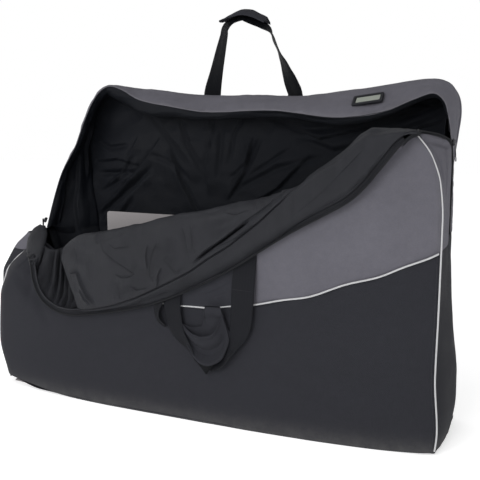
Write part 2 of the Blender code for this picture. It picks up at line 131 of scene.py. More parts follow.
def noise(p, scale, seed=0.0):
    """Smooth value noise, -1 to 1, at points (..., 3); scale is bumps per metre, one number or three."""
    q = np.asarray(p, float) * np.asarray(scale, float) + seed * np.array([3.7, 5.3, 7.9])
    i = np.floor(q).astype(int)
    f = q - i
    f = f * f * (3 - 2 * f)
    out = 0.0
    for a in (0, 1):
        for b in (0, 1):
            for c in (0, 1):
                w = (f[..., 0] if a else 1 - f[..., 0]) * (f[..., 1] if b else 1 - f[..., 1]) * (f[..., 2] if c else 1 - f[..., 2])
                out = out + w * _table[(i[..., 0] + a) % 32, (i[..., 1] + b) % 32, (i[..., 2] + c) % 32]
    return out * 2 - 1


def crumple(p, scale, seed=0.0, octaves=3):
    out, amp = 0.0, 1.0
    for k in range(octaves):
        out = out + amp * noise(p, np.asarray(scale, float) * 2.1**k, seed + 1.7 * k)
        amp *= 0.5
    return out


def ridged(p, scale, seed=0.0, octaves=2):
    """Sharp creases between soft swellings, 0 to 1."""
    out, amp = 0.0, 1.0
    for k in range(octaves):
        out = out + amp * (1 - np.abs(noise(p, np.asarray(scale, float) * 2.2**k, seed + 2.3 * k)))
        amp *= 0.45
    return out / 1.45


def near_line(a, b, line):
    """Distance of plane points (a, b) from a polyline, which side, and how far along it (0 to 1)."""
    pts = np.array(line, float)
    seg = np.linalg.norm(np.diff(pts, axis=0), axis=1)
    run = np.concatenate([[0.0], np.cumsum(seg)])
    best = np.full(np.shape(a), 1e9)
    side = np.zeros(np.shape(a))
    along = np.zeros(np.shape(a))
    for i in range(len(pts) - 1):
        d = pts[i + 1] - pts[i]
        t = np.clip(((a - pts[i, 0]) * d[0] + (b - pts[i, 1]) * d[1]) / (d @ d), 0, 1)
        dx, dy = a - pts[i, 0] - t * d[0], b - pts[i, 1] - t * d[1]
        r = np.hypot(dx, dy)
        s = np.sign(d[0] * dy - d[1] * dx)
        hit = r < best
        best = np.where(hit, r, best)
        side = np.where(hit, s, side)
        along = np.where(hit, (run[i] + t * seg[i]) / run[-1], along)
    return best, side, along


def folds(a, b, rows):
    """Sum of folds over plane points. Each row: line, valley depth, valley half width, lip height on its left and right
    side, lip width, and whether it fades at its start and end."""
    out = np.zeros(np.shape(a))
    for line, depth, width, left, right, lip, fade0, fade1 in rows:
        r, side, along = near_line(a, b, line)
        f = np.ones_like(r)
        if fade0:
            f = f * smooth(0.0, 0.28, along)
        if fade1:
            f = f * (1 - smooth(0.72, 1.0, along))
        h = -depth * np.exp(-((r / width) ** 2))
        up = np.where(side > 0, left, right)
        h = h + up * (1 - np.exp(-((r / width) ** 2))) * np.exp(-((r / lip) ** 2))
        out = out + h * f
    return out


# ---------------------------------------------------------------- meshes
def build(name, verts, faces, uvs, material, wear=None):
    me = bpy.data.meshes.new(name)
    me.from_pydata([tuple(v) for v in verts], [], [tuple(f) for f in faces])
    layer = me.uv_layers.new(name="cloth")
    loops = np.zeros(len(me.loops), np.int64)
    me.loops.foreach_get("vertex_index", loops)
    layer.data.foreach_set("uv", np.asarray(uvs, np.float32)[loops].ravel())
    if wear is not None:
        at = me.attributes.new("wear", "FLOAT", "POINT")
        at.data.foreach_set("value", np.asarray(wear, np.float32))
    me.polygons.foreach_set("use_smooth", np.ones(len(me.polygons), bool))
    me.materials.append(material)
    me.update()
    o = bpy.data.objects.new(name, me)
    scene.collection.objects.link(o)
    return o


def grid_normals(P):
    du = np.gradient(P, axis=0)
    dv = np.gradient(P, axis=1)
    n = np.cross(du, dv)
    return n / np.maximum(np.linalg.norm(n, axis=2, keepdims=True), 1e-12)


def creases(a, b, rows):
    """Sharp creases over plane points: the cloth swells slowly up to the line on its high side (+1 left, -1 right) and
    drops steeply on the other. Each row: line, height, width of the drop, width of the swell, high side, fades."""
    out = np.zeros(np.shape(a))
    for line, high, steep, gentle, left, fade0, fade1 in rows:
        r, side, along = near_line(a, b, line)
        f = np.ones_like(r)
        if fade0:
            f = f * smooth(0.0, 0.22, along)
        if fade1:
            f = f * (1 - smooth(0.78, 1.0, along))
        up = np.exp(-r / gentle)
        down = np.exp(-((r / steep) ** 2)) * 1.45 - 0.45 * np.exp(-((r / (3.2 * steep)) ** 2))
        out = out + high * f * np.where(side * left > 0, up, down)
    return out


def cloth(name, P, material, out, t=0.002, lift=None, back=None, wear=None, turn=False):
    """Sheet from a grid of outer-surface points (nu, nv, 3): lift moves the outer skin along the normal, back the inner
    skin (the same as lift unless given), t is the thickness. out is a direction that the outer side faces."""
    N = grid_normals(P)
    if (N.reshape(-1, 3) @ np.array(out, float)).mean() < 0:
        N = -N
        flip = True
    else:
        flip = False
    if lift is not None:
        P2 = P + N * np.asarray(lift)[..., None]
        N2 = grid_normals(P2)
        N2 = -N2 if flip else N2
    else:
        P2, N2 = P, N
    low = (P2 if back is None else P + N * np.asarray(back)[..., None]) - (N2 if back is None else N) * t
    nu, nv = P.shape[:2]
    su = np.concatenate([np.zeros((1, nv)), np.cumsum(np.linalg.norm(np.diff(P, axis=0), axis=2), axis=0)], axis=0)
    sv = np.concatenate([np.zeros((nu, 1)), np.cumsum(np.linalg.norm(np.diff(P, axis=1), axis=2), axis=1)], axis=1)
    su = su + (su.mean(axis=1) * 0)[:, None]
    uv = np.stack([su, sv] if not turn else [sv, su], axis=2)
    idx = np.arange(nu * nv).reshape(nu, nv)
    verts = [P2.reshape(-1, 3), low.reshape(-1, 3)]
    uvs = [uv.reshape(-1, 2), uv.reshape(-1, 2)]
    quads = np.stack([idx[:-1, :-1], idx[1:, :-1], idx[1:, 1:], idx[:-1, 1:]], axis=-1).reshape(-1, 4)
    if flip:
        quads = quads[:, ::-1]
    lows = quads[:, ::-1] + nu * nv
    rim = [(i, 0) for i in range(nu)] + [(nu - 1, j) for j in range(1, nv)] + [(i, nv - 1) for i in range(nu - 2, -1, -1)] + [(0, j) for j in range(nv - 2, 0, -1)]
    mids, muv = [], []
    for i, j in rim:
        ii = 1 if i == 0 else nu - 2 if i == nu - 1 else i
        jj = 1 if j == 0 else nv - 2 if j == nv - 1 else j
        d = P2[i, j] - P2[ii, jj]
        d = d / max(np.linalg.norm(d), 1e-9)
        mids.append((P2[i, j] + low[i, j]) / 2 + d * t * 0.45)
        muv.append(uv[i, j])
    verts.append(np.array(mids))
    uvs.append(np.array(muv))
    m0 = 2 * nu * nv
    ring = np.array([idx[i, j] for i, j in rim])
    k = len(ring)
    a, b = np.arange(k), (np.arange(k) + 1) % k
    side1 = np.stack([ring[b], ring[a], m0 + a, m0 + b], axis=1)
    side2 = np.stack([m0 + b, m0 + a, ring[a] + nu * nv, ring[b] + nu * nv], axis=1)
    if flip:
        side1, side2 = side1[:, ::-1], side2[:, ::-1]
    faces = np.concatenate([quads, lows, side1, side2]).tolist()
    w = None
    if wear is not None:
        w = np.concatenate([np.asarray(wear).ravel(), np.asarray(wear).ravel(), np.array([np.asarray(wear)[i, j] for i, j in rim])])
    return build(name, np.concatenate(verts), faces, np.concatenate(uvs), material, w)


def frames(p, up=(0.0, 0.0, 1.0)):
    """Directions along and across a polyline, carried along it without turning."""
    t = np.gradient(p, axis=0)
    t = t / np.linalg.norm(t, axis=1, keepdims=True)
    n = np.array(up, float)
    n = n - (n @ t[0]) * t[0]
    if np.linalg.norm(n) < 1e-6:
        n = np.array([1.0, 0.0, 0.0]) - t[0][0] * t[0]
    out = []
    for k in range(len(p)):
        n = n - (n @ t[k]) * t[k]
        n = n / np.linalg.norm(n)
        out.append(n)
    n = np.array(out)
    return t, n, np.cross(t, n)


def tube(name, p, r, material, k=8, flat=1.0, up=(0, 0, 1), ripple=None):
    """Round cord or piping along points, ends rounded shut."""
    p = np.array(p, float)
    t, n, b = frames(p, up)
    s = np.concatenate([[0.0], np.cumsum(np.linalg.norm(np.diff(p, axis=0), axis=1))])
    rr = np.full(len(p), r) if np.isscalar(r) else np.asarray(r, float)
    if ripple is not None:
        pitch, deep = ripple
        rr = rr * (1 + deep * np.sin(2 * math.pi * s / pitch))
    a = 2 * math.pi * np.arange(k) / k
    ring = n[:, None, :] * np.cos(a)[None, :, None] + b[:, None, :] * (flat * np.sin(a))[None, :, None]
    V = p[:, None, :] + ring * rr[:, None, None]
    verts = V.reshape(-1, 3)
    uvs = np.stack([np.repeat(s, k), np.tile(a * r if np.isscalar(r) else a * rr.mean(), len(p))], axis=1)
    faces = []
    for i in range(len(p) - 1):
        for j in range(k):
            q = (j + 1) % k
            faces.append((i * k + j, i * k + q, (i + 1) * k + q, (i + 1) * k + j))
    e0, e1 = len(verts), len(verts) + 1
    verts = np.concatenate([verts, [p[0] - t[0] * rr[0] * 0.6, p[-1] + t[-1] * rr[-1] * 0.6]])
    uvs = np.concatenate([uvs, [uvs[0], uvs[-1]]])
    last = (len(p) - 1) * k
    for j in range(k):
        q = (j + 1) % k
        faces.append((e0, q, j))
        faces.append((e1, last + j, last + q))
    return build(name, verts, faces, uvs, material)


def strap(name, centre, side, face, width, t, material, ribs=4.5e-3, rib=0.00028, n=22, step=0.006):
    """Webbing: centre line, direction across it and direction its face looks, all (k, 3); ribs run along it."""
    c = np.array(centre, float)
    s = np.concatenate([[0.0], np.cumsum(np.linalg.norm(np.diff(c, axis=0), axis=1))])
    m = max(3, int(s[-1] / step))
    q = np.linspace(0, s[-1], m)
    c2 = np.stack([np.interp(q, s, c[:, k]) for k in range(3)], axis=1)
    a2 = np.stack([np.interp(q, s, np.array(side)[:, k]) for k in range(3)], axis=1)
    w2 = np.interp(q, s, np.broadcast_to(width, len(c)))
    a2 = a2 / np.linalg.norm(a2, axis=1, keepdims=True)
    v = np.linspace(-0.5, 0.5, n)
    P = c2[:, None, :] + a2[:, None, :] * (w2[:, None] * v[None, :])[..., None]
    lift = rib * np.cos(2 * math.pi * (v[None, :] * w2[:, None]) / ribs) * (np.abs(v) < 0.44)
    lift = lift - 0.0006 * smooth(0.44, 0.5, np.abs(v))[None, :]
    return cloth(name, P, material, face, t=t, lift=lift, back=-lift)


def stitches(name, p, normal, material, pitch=0.0036, share=0.66, r=0.00042, sink=0.0001):
    """A row of thread stitches lying on a surface along points with normals."""
    p = np.array(p, float)
    nrm = np.broadcast_to(np.array(normal, float), p.shape)
    s = np.concatenate([[0.0], np.cumsum(np.linalg.norm(np.diff(p, axis=0), axis=1))])
    n = int(s[-1] / pitch)
    at = lambda q, w: np.stack([np.interp(q, s, w[:, k]) for k in range(3)], axis=-1)
    verts, faces, uvs = [], [], []
    for i in range(n):
        q0 = i * pitch
        a, b = at(q0, p), at(q0 + pitch * share, p)
        u = at(q0 + pitch / 2, nrm)
        u = u / np.linalg.norm(u)
        d = b - a
        d = d / max(np.linalg.norm(d), 1e-9)
        x = np.cross(d, u)
        mid = (a + b) / 2 + u * (r - sink)
        k = len(verts)
        verts += [a - u * sink, mid + x * r, mid + u * r * 0.8, mid - x * r, mid - u * r, b - u * sink]
        uvs += [(q0, 0.0)] * 6
        for j in range(4):
            j2 = (j + 1) % 4
            faces.append((k, k + 1 + j2, k + 1 + j))
            faces.append((k + 5, k + 1 + j, k + 1 + j2))
    return build(name, verts, faces, uvs, material)


# ---------------------------------------------------------------- materials
class Graph:
    def __init__(self, name):
        self.m = bpy.data.materials.new(name)
        self.m.use_nodes = True
        self.n = self.m.node_tree.nodes
        self.l = self.m.node_tree.links
        self.b = self.n["Principled BSDF"]

    def put(self, socket, value):
        if isinstance(value, bpy.types.NodeSocket):
            self.l.new(value, socket)
        else:
            socket.default_value = value

    def math(self, op, a, b=0.0, c=0.0):
        x = self.n.new("ShaderNodeMath")
        x.operation = op
        for s, v in zip(x.inputs, (a, b, c)):
            self.put(s, v)
        return x.outputs[0]

    def noise(self, vector, scale, detail=4.0, rough=0.55):
        x = self.n.new("ShaderNodeTexNoise")
        self.put(x.inputs["Vector"], vector)
        x.inputs["Scale"].default_value = scale
        x.inputs["Detail"].default_value = detail
        x.inputs["Roughness"].default_value = rough
        return x.outputs["Fac"]

    def colour(self, a, b, f):
        x = self.n.new("ShaderNodeMix")
        x.data_type = "RGBA"
        self.put(x.inputs[0], f)
        self.put(x.inputs[6], a)
        self.put(x.inputs[7], b)
        return x.outputs[2]

    def uv(self):
        x = self.n.new("ShaderNodeUVMap")
        x.uv_map = "cloth"
        y = self.n.new("ShaderNodeSeparateXYZ")
        self.l.new(x.outputs[0], y.inputs[0])
        return y.outputs[0], y.outputs[1]

    def place(self):
        return self.n.new("ShaderNodeTexCoord").outputs["Object"]

    def bump(self, height, distance, strength=1.0):
        x = self.n.new("ShaderNodeBump")
        x.inputs["Distance"].default_value = distance
        x.inputs["Strength"].default_value = strength
        self.l.new(height, x.inputs["Height"])
        self.l.new(x.outputs[0], self.b.inputs["Normal"])


def rgb(c, k=1.0):
    return (c[0] * k, c[1] * k, c[2] * k, 1.0)


def fabric(name, c, pitch=0.0012, weave=0.5, rough=0.72, spec=0.25, sheen=0.0, mottle=0.14, crinkle=0.0, worn=0.5, depth=0.00035):
    """Woven cloth: over-and-under threads in metres, uneven dye, a little wear along edges, soft crinkle if it is thin."""
    g = Graph(name)
    u, v = g.uv()
    su = g.math("SINE", g.math("MULTIPLY", u, 2 * math.pi / pitch))
    sv = g.math("SINE", g.math("MULTIPLY", v, 2 * math.pi / pitch))
    threads = g.math("MULTIPLY", su, sv)
    place = g.place()
    patchy = g.noise(place, 7.0, 5.0, 0.6)
    grain = g.noise(place, 420.0, 2.0, 0.6)
    slub = g.noise(place, 60.0, 3.0, 0.6)
    shade = g.math("ADD", g.math("MULTIPLY", g.math("SUBTRACT", patchy, 0.5), 2 * mottle), g.math("MULTIPLY", threads, 0.10))
    shade = g.math("ADD", shade, g.math("MULTIPLY", g.math("SUBTRACT", grain, 0.5), 0.30))
    shade = g.math("ADD", shade, g.math("MULTIPLY", g.math("SUBTRACT", slub, 0.5), 0.22))
    f = g.math("ADD", 0.5, shade)
    base = g.colour(rgb(c, 0.55), rgb(c, 1.45), f)
    w = g.n.new("ShaderNodeAttribute")
    w.attribute_name = "wear"
    scuff = g.math("MULTIPLY", w.outputs["Fac"], g.math("MULTIPLY", g.noise(place, 35.0, 5.0, 0.7), worn))
    base = g.colour(base, (0.16, 0.155, 0.15, 1.0), scuff)
    g.l.new(base, g.b.inputs["Base Color"])
    g.put(g.b.inputs["Roughness"], g.math("ADD", rough - 0.10, g.math("MULTIPLY", patchy, 0.20)))
    g.b.inputs["Specular IOR Level"].default_value = spec
    g.b.inputs["Sheen Weight"].default_value = sheen
    g.b.inputs["Sheen Roughness"].default_value = 0.45
    h = g.math("MULTIPLY", threads, weave)
    h = g.math("ADD", h, g.math("MULTIPLY", grain, 0.5))
    if crinkle:
        h = g.math("ADD", h, g.math("MULTIPLY", g.noise(place, 26.0, 4.0, 0.62), crinkle))
    g.bump(h, depth)
    return g.m


def webbing_stuff(name, c):
    """Ribbed polypropylene webbing: a herringbone of small slanting threads between the ribs."""
    g = Graph(name)
    u, v = g.uv()
    zig = g.math("PINGPONG", v, 0.00225)
    slant = g.math("SINE", g.math("MULTIPLY", g.math("ADD", u, g.math("MULTIPLY", zig, 1.1)), 2 * math.pi / 0.0016))
    place = g.place()
    grain = g.noise(place, 500.0, 2.0)
    patchy = g.noise(place, 9.0, 4.0)
    f = g.math("ADD", 0.42, g.math("ADD", g.math("MULTIPLY", slant, 0.16), g.math("MULTIPLY", g.math("SUBTRACT", grain, 0.5), 0.3)))
    f = g.math("ADD", f, g.math("MULTIPLY", g.math("SUBTRACT", patchy, 0.5), 0.3))
    g.l.new(g.colour(rgb(c, 0.5), rgb(c, 1.7), f), g.b.inputs["Base Color"])
    g.put(g.b.inputs["Roughness"], g.math("ADD", 0.48, g.math("MULTIPLY", patchy, 0.2)))
    g.b.inputs["Specular IOR Level"].default_value = 0.2
    g.bump(g.math("ADD", slant, grain), 0.00028)
    return g.m


def cord_stuff(name, c, rough=0.45, spec=0.4, twist=0.004):
    """Piping, thread and zip coil: a slanting lay round the cord."""
    g = Graph(name)
    u, v = g.uv()
    lay = g.math("SINE", g.math("MULTIPLY", g.math("ADD", u, v), 2 * math.pi / twist))
    place = g.place()
    spots = g.noise(place, 90.0, 4.0)
    f = g.math("ADD", 0.5, g.math("ADD", g.math("MULTIPLY", lay, 0.10), g.math("MULTIPLY", g.math("SUBTRACT", spots, 0.5), 0.5)))
    g.l.new(g.colour(rgb(c, 0.7), rgb(c, 1.3), f), g.b.inputs["Base Color"])
    g.put(g.b.inputs["Roughness"], g.math("ADD", rough - 0.08, g.math("MULTIPLY", spots, 0.16)))
    g.b.inputs["Specular IOR Level"].default_value = spec
    g.bump(lay, 0.00018)
    return g.m


def metal_stuff(name, c):
    g = Graph(name)
    place = g.place()
    spots = g.noise(place, 300.0, 4.0)
    g.l.new(g.colour(rgb(c, 0.7), rgb(c, 1.2), spots), g.b.inputs["Base Color"])
    g.b.inputs["Metallic"].default_value = 1.0
    g.put(g.b.inputs["Roughness"], g.math("ADD", 0.22, g.math("MULTIPLY", g.noise(place, 70.0, 3.0), 0.25)))
    g.bump(spots, 0.00005)
    return g.m


def board_stuff(name, c):
    """Pressed fibre board: fine speckle and faint streaks."""
    g = Graph(name)
    place = g.place()
    speck = g.noise(place, 260.0, 3.0, 0.7)
    broad = g.noise(place, 8.0, 4.0)
    f = g.math("ADD", 0.25, g.math("ADD", g.math("MULTIPLY", speck, 0.3), g.math("MULTIPLY", broad, 0.25)))
    g.l.new(g.colour(rgb(c, 0.75), rgb(c, 1.25), f), g.b.inputs["Base Color"])
    g.put(g.b.inputs["Roughness"], g.math("ADD", 0.7, g.math("MULTIPLY", speck, 0.2)))
    g.b.inputs["Specular IOR Level"].default_value = 0.3
    g.bump(speck, 0.0002)
    return g.m


def card_stuff(name, c):
    g = Graph(name)
    place = g.place()
    speck = g.noise(place, 500.0, 3.0, 0.7)
    broad = g.noise(place, 30.0, 3.0)
    g.l.new(g.colour(rgb(c, 0.85), rgb(c, 1.1), g.math("ADD", g.math("MULTIPLY", speck, 0.4), g.math("MULTIPLY", broad, 0.5))), g.b.inputs["Base Color"])
    g.put(g.b.inputs["Roughness"], g.math("ADD", 0.5, g.math("MULTIPLY", speck, 0.2)))
    g.bump(speck, 0.00008)
    return g.m


BLACK = fabric("black_cloth", (0.0200, 0.0205, 0.0255), pitch=0.0013, rough=0.80, spec=0.14, mottle=0.13)
# a black a little lighter than the black cloth, used only as painted shade between the front handle's straps
PAINTED_SHADE_SHEET = fabric("painted_shade_cloth", (0.0262, 0.0268, 0.0330), pitch=0.0013, rough=0.80, spec=0.14, mottle=0.13)
# the black cloth darkened to 0.77 of its colour: painted shade on the right end, which faces away from the key light
SHADED_SIDE_BLACK = fabric("black_cloth_painted_shade", (0.0154, 0.0158, 0.0198), pitch=0.0013, rough=0.80, spec=0.14, mottle=0.13)
GREY = fabric("grey_cloth", (0.1045, 0.1018, 0.1198), pitch=0.0011, rough=0.80, spec=0.14, mottle=0.17)
TURNED = fabric("turned_cloth", (0.0112, 0.0117, 0.0148), pitch=0.0005, weave=0.22, rough=0.54, spec=0.22, mottle=0.20, crinkle=1.7, worn=0.2, depth=0.0008)
LINING = fabric("lining_cloth", (0.0140, 0.0146, 0.0184), pitch=0.0005, weave=0.22, rough=0.54, spec=0.22, mottle=0.16, crinkle=1.4, worn=0.2, depth=0.0007)
# the lining inside the bag, far darker than the same lining on the flap: painted shade for the inside of the bag
INNER_SHADED = fabric("inner_cloth_painted_shade", (0.0034, 0.0042, 0.0066), pitch=0.0005, weave=0.22, rough=0.56, spec=0.14, mottle=0.2, crinkle=2.2, worn=0.1, depth=0.0009)
TAPE = fabric("zip_tape_cloth", (0.0125, 0.0130, 0.0160), pitch=0.0009, rough=0.75, spec=0.18, mottle=0.1)
WEB = webbing_stuff("webbing_weave", (0.0056, 0.0062, 0.0092))
PIPING = cord_stuff("piping_cord", (0.50, 0.50, 0.51), 0.42, 0.45, 0.0016)
THREAD = cord_stuff("black_thread", (0.022, 0.023, 0.027), 0.5, 0.3, 0.0008)
THREAD_GREY = cord_stuff("grey_thread", (0.072, 0.071, 0.080), 0.5, 0.3, 0.0008)
COIL = cord_stuff("coil_plastic", (0.0085, 0.0090, 0.0110), 0.5, 0.2, 0.0024)
METAL = metal_stuff("slider_metal", (0.36, 0.36, 0.37))
# a darker, duller copy of the webbing: painted shade for the rear handle's underside, the front wrap's tab edge and the
# pouch's pointed end
WEB_SHADED = webbing_stuff("webbing_weave_painted_shade", (0.0010, 0.0015, 0.0030))
for nd in WEB_SHADED.node_tree.nodes:
    if nd.type == "BSDF_PRINCIPLED":
        nd.inputs["Specular IOR Level"].default_value *= 0.72
DARK_METAL = metal_stuff("slider_metal_dark", (0.045, 0.045, 0.050))
BOARD_M = board_stuff("grey_board", (0.215, 0.203, 0.205))
CARD_M = card_stuff("blank_card", (0.22, 0.235, 0.205))


# ---------------------------------------------------------------- the bag's outline
HEIGHT = 0.89
edge_left = prof([(0.0, -0.636), (0.13, -0.660), (0.27, -0.650), (0.38, -0.615), (0.48, -0.566), (0.65, -0.535), (0.77, -0.485), (0.87, -0.425)])
seam_left = prof([(0.0, -0.630), (0.03, -0.636), (0.13, -0.660), (0.25, -0.652), (0.30, -0.644), (0.338, -0.627), (0.386, -0.584), (0.416, -0.543), (0.455, -0.505)])
seam_right = prof([(0.0, 0.640), (0.056, 0.645), (0.195, 0.636), (0.358, 0.638), (0.563, 0.639), (0.644, 0.632), (0.709, 0.610), (0.751, 0.581), (0.775, 0.555)])
wave = prof([(-0.66, 0.45), (-0.50, 0.40), (-0.30, 0.345), (-0.03, 0.3075), (0.03, 0.3075), (0.057, 0.308), (0.127, 0.320), (0.186, 0.330), (0.271, 0.351), (0.326, 0.362), (0.426, 0.402), (0.499, 0.424), (0.559, 0.452), (0.615, 0.476), (0.645, 0.493)])
crest = prof([(-0.47, 0.405), (-0.406, 0.430), (-0.373, 0.452), (-0.335, 0.475), (-0.253, 0.490), (-0.147, 0.515), (-0.062, 0.540), (0.063, 0.564), (0.151, 0.587), (0.235, 0.608), (0.308, 0.636), (0.330, 0.657), (0.370, 0.685), (0.430, 0.734), (0.452, 0.757), (0.478, 0.771), (0.557, 0.770), (0.593, 0.765), (0.656, 0.744)])
zip_edge = prof([(-0.45, 0.272), (-0.413, 0.256), (-0.364, 0.251), (-0.292, 0.260), (-0.189, 0.281), (-0.106, 0.304), (-0.028, 0.335), (0.053, 0.374), (0.139, 0.422), (0.236, 0.486), (0.305, 0.529), (0.379, 0.570), (0.434, 0.603), (0.475, 0.642), (0.510, 0.686), (0.562, 0.744), (0.590, 0.756)])
rear_top = prof([(-0.44, 0.865), (-0.36, 0.876), (-0.09, 0.854), (0.20, 0.850), (0.37, 0.868), (0.54, 0.886), (0.60, 0.870), (0.64, 0.820)])
FOLD_Z, FOLD_SLOPE = 0.555, 0.35


def fold_z(x):
    return FOLD_Z + FOLD_SLOPE * np.asarray(x, float)


def side_x(z):
    """The front panel's left boundary: below the shoulder it is pulled round the corner."""
    return seam_left(z) - 0.013 * (1 - smooth(0.27, 0.34, z))


def yf(x, z):
    """Face of the standing front panel."""
    z = np.asarray(z, float)
    a, b = np.minimum(edge_left(z), side_x(z)), 0.638
    xi = (x - (a + b) / 2) / ((b - a) / 2)
    power = np.where(xi < 0, 3 + 2.5 * smooth(0.0, 0.10, z) * (1 - smooth(0.26, 0.36, z)), 3.0)
    xi = np.clip(np.abs(xi), 0, 1)
    y = -(0.1265 + 0.047 * (1 - xi**power) * (1 - 0.5 * z / HEIGHT))
    # pressed back behind the gathers at the left end of the fold
    return y + 0.022 * np.exp(-(((x + 0.430) / 0.085) ** 2)) * smooth(0.24, 0.30, z) + 0.010 * np.exp(-(((x - 0.068) / 0.075) ** 4)) * smooth(0.26, 0.33, z) * (1 - smooth(0.50, 0.56, z))


def front_top(x):
    low = prof([(-0.58, 0.385), (-0.55, 0.415), (-0.52, 0.438), (-0.49, 0.440), (-0.46, 0.425), (-0.43, 0.408), (-0.40, 0.403)])
    high = mix(np.minimum(crest(x), fold_z(x)) - 0.012, 0.7520 - 0.05 * np.abs(x - 0.58), smooth(0.535, 0.565, x))
    return mix(low(x), high, smooth(-0.43, -0.37, x))


def left_seam_y(z):
    return -0.1265 + 0.018 * (1 - smooth(0.29, 0.36, z))


foot = prof([(-0.66, 0.028), (-0.60, 0.022), (-0.50, 0.012), (-0.40, 0.003), (-0.33, 0.0015), (0.50, 0.0015), (0.60, 0.003), (0.645, 0.007)])


def solve_panel(nu, nv, z0, z1, x0, x1):
    """Grid of (x, z) between two edge curves x0(z), x1(z) and two height curves z0(x), z1(x)."""
    u, v = np.meshgrid(np.linspace(0, 1, nu), np.linspace(0, 1, nv), indexing="ij")
    z = mix(0.05, 0.5, v)
    for _ in range(40):
        x = mix(x0(z), x1(z), u)
        z = 0.5 * z + 0.5 * mix(z0(x), z1(x), v)
    return mix(x0(z), x1(z), u), z


def split(x):
    return mix(front_top(x), wave(x), smooth(-0.405, -0.345, x))


def wrap_left(x, z, y):
    """The front panel rolls back round the lower left end, so that its seam is behind the edge."""
    d = np.clip((x - side_x(z)) / 0.036, 0, 1)
    return y + (left_seam_y(z) + 0.1265) * (1 - np.sqrt(np.clip(1 - (1 - d) ** 2, 0, 1)))


def panel_folds(x, z):
    """Broad softness and a few drag lines of the standing front."""
    P = np.stack([x, x * 0, z], axis=-1)
    h = 0.0016 * noise(P, (5, 1, 6), 1) + 0.0007 * noise(P, (16, 1, 18), 2)
    h = h + folds(x, z, [
        ([(-0.06, 0.27), (-0.20, 0.20), (-0.36, 0.17)], 0.0015, 0.020, 0.0012, 0.0004, 0.06, 1, 1),
        ([(0.18, 0.22), (0.36, 0.12), (0.50, 0.06)], 0.0014, 0.022, 0.0010, 0.0006, 0.06, 1, 1),
        ([(-0.58, 0.34), (-0.50, 0.28), (-0.44, 0.20)], 0.0035, 0.016, 0.003, 0.001, 0.05, 0, 1),
        ([(-0.55, 0.40), (-0.53, 0.34), (-0.53, 0.25)], 0.0030, 0.012, 0.002, 0.002, 0.04, 0, 1),
        ([(0.02, 0.16), (0.03, 0.08), (0.02, 0.02)], 0.0012, 0.02, 0.0008, 0.0008, 0.05, 1, 1),
        ([(0.20, 0.45), (0.34, 0.42), (0.50, 0.47)], 0.0012, 0.020, 0.001, 0.0006, 0.06, 1, 1),
        ([(0.36, 0.52), (0.48, 0.55), (0.60, 0.60)], 0.0012, 0.018, 0.0012, 0.0006, 0.05, 1, 1),
        ([(0.06, 0.40), (0.09, 0.36), (0.125, 0.335)], 0.0016, 0.010, 0.001, 0.001, 0.03, 1, 1),
    ])
    return h


def piece(o, body, slot, *nodes):
    if body:
        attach(o, body)
    if nodes:
        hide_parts(*nodes)
    return o


# ---------------------------------------------------------------- standing front
x, z = solve_panel(240, 90, foot, split, side_x, seam_right)
y = wrap_left(x, z, yf(x, z))
h = panel_folds(x, z)
top_d = np.abs(z - split(x))
h = h - 0.0012 * np.exp(-((top_d / 0.006) ** 2))
wear_f = np.exp(-(z / 0.03) ** 2) * 0.8 + np.exp(-((x - side_x(z)) / 0.02) ** 2) * 0.5
front_black = cloth("front_lower", np.stack([x, y, z], -1), BLACK, (0, -1, 0), t=0.002, lift=h, wear=wear_f)
piece(front_black, "bag", "black_fabric", "front_panel_lower")


def grey_left(z):
    return np.full(np.shape(z), -0.405)


x, z = solve_panel(210, 70, split, front_top, grey_left, seam_right)
y = yf(x, z)
h = panel_folds(x, z) - 0.0012 * np.exp(-((np.abs(z - split(x)) / 0.006) ** 2))
front_grey = cloth("front_upper", np.stack([x, y, z], -1), GREY, (0, -1, 0), t=0.002, lift=h, wear=np.exp(-((0.638 - x) / 0.012) ** 2) * 0.4)
piece(front_grey, "bag", "grey_fabric", "front_panel_upper")

# dark sheet laid on the grey standing front between the front handle's straps: painted shade for the shadow under the
# flap and between the straps
u, v = np.meshgrid(np.linspace(0, 1, 60), np.linspace(0, 1, 50), indexing="ij")
x = mix(-0.030, 0.150, u)
z = mix(wave(x) + 0.0018, 0.435 + 0 * x, v)
P = np.stack([x, yf(x, z) - 0.0016, z], -1)
h = panel_folds(x, z) + 0.0016 * crumple(P, (14, 1, 16), 13) + creases(x, z, [
    ([(0.030, 0.345), (0.065, 0.352), (0.125, 0.385)], 0.0030, 0.0022, 0.016, 1, 1, 1),
    ([(0.075, 0.335), (0.100, 0.348), (0.130, 0.352)], 0.0024, 0.0022, 0.012, -1, 1, 1),
])
o = cloth("front_painted_shade_sheet", P, PAINTED_SHADE_SHEET, (0, -1, 0), t=0.0012, lift=np.maximum(h, panel_folds(x, z)))
piece(o, "bag", "black_fabric")
# lining on the inside of the standing front, with its foam
x, z = solve_panel(120, 50, lambda x: foot(x) + 0.012, lambda x: front_top(x) - 0.006, lambda z: side_x(z) + 0.022, lambda z: seam_right(z) - 0.014)
y = yf(x, z) + 0.013
h = 0.004 * crumple(np.stack([x, x * 0, z], -1), (9, 1, 12), 4) + 0.003
front_in = cloth("front_inside", np.stack([x, y, z], -1), INNER_SHADED, (0, 1, 0), t=0.0075, lift=h, back=np.zeros_like(h))
piece(front_in, "bag", "lining", "front_lining", "front_padding")

# piping and topstitching of the front
xs = np.linspace(-0.372, 0.634, 260)
w3 = np.stack([xs, yf(xs, split(xs)) - 0.0012, split(xs)], -1)
piece(tube("piping_wave_cord", w3, 0.0023, PIPING, 8), "bag", "piping", "piping_wave")
for off, nm, mat in ((0.0065, "above", THREAD_GREY), (-0.0065, "below", THREAD)):
    q = np.stack([xs, yf(xs, split(xs) + off) - 0.0004, split(xs) + off], -1)
    piece(stitches("stitch_wave_" + nm, q, (0, -1, 0), mat), "bag", "piping")

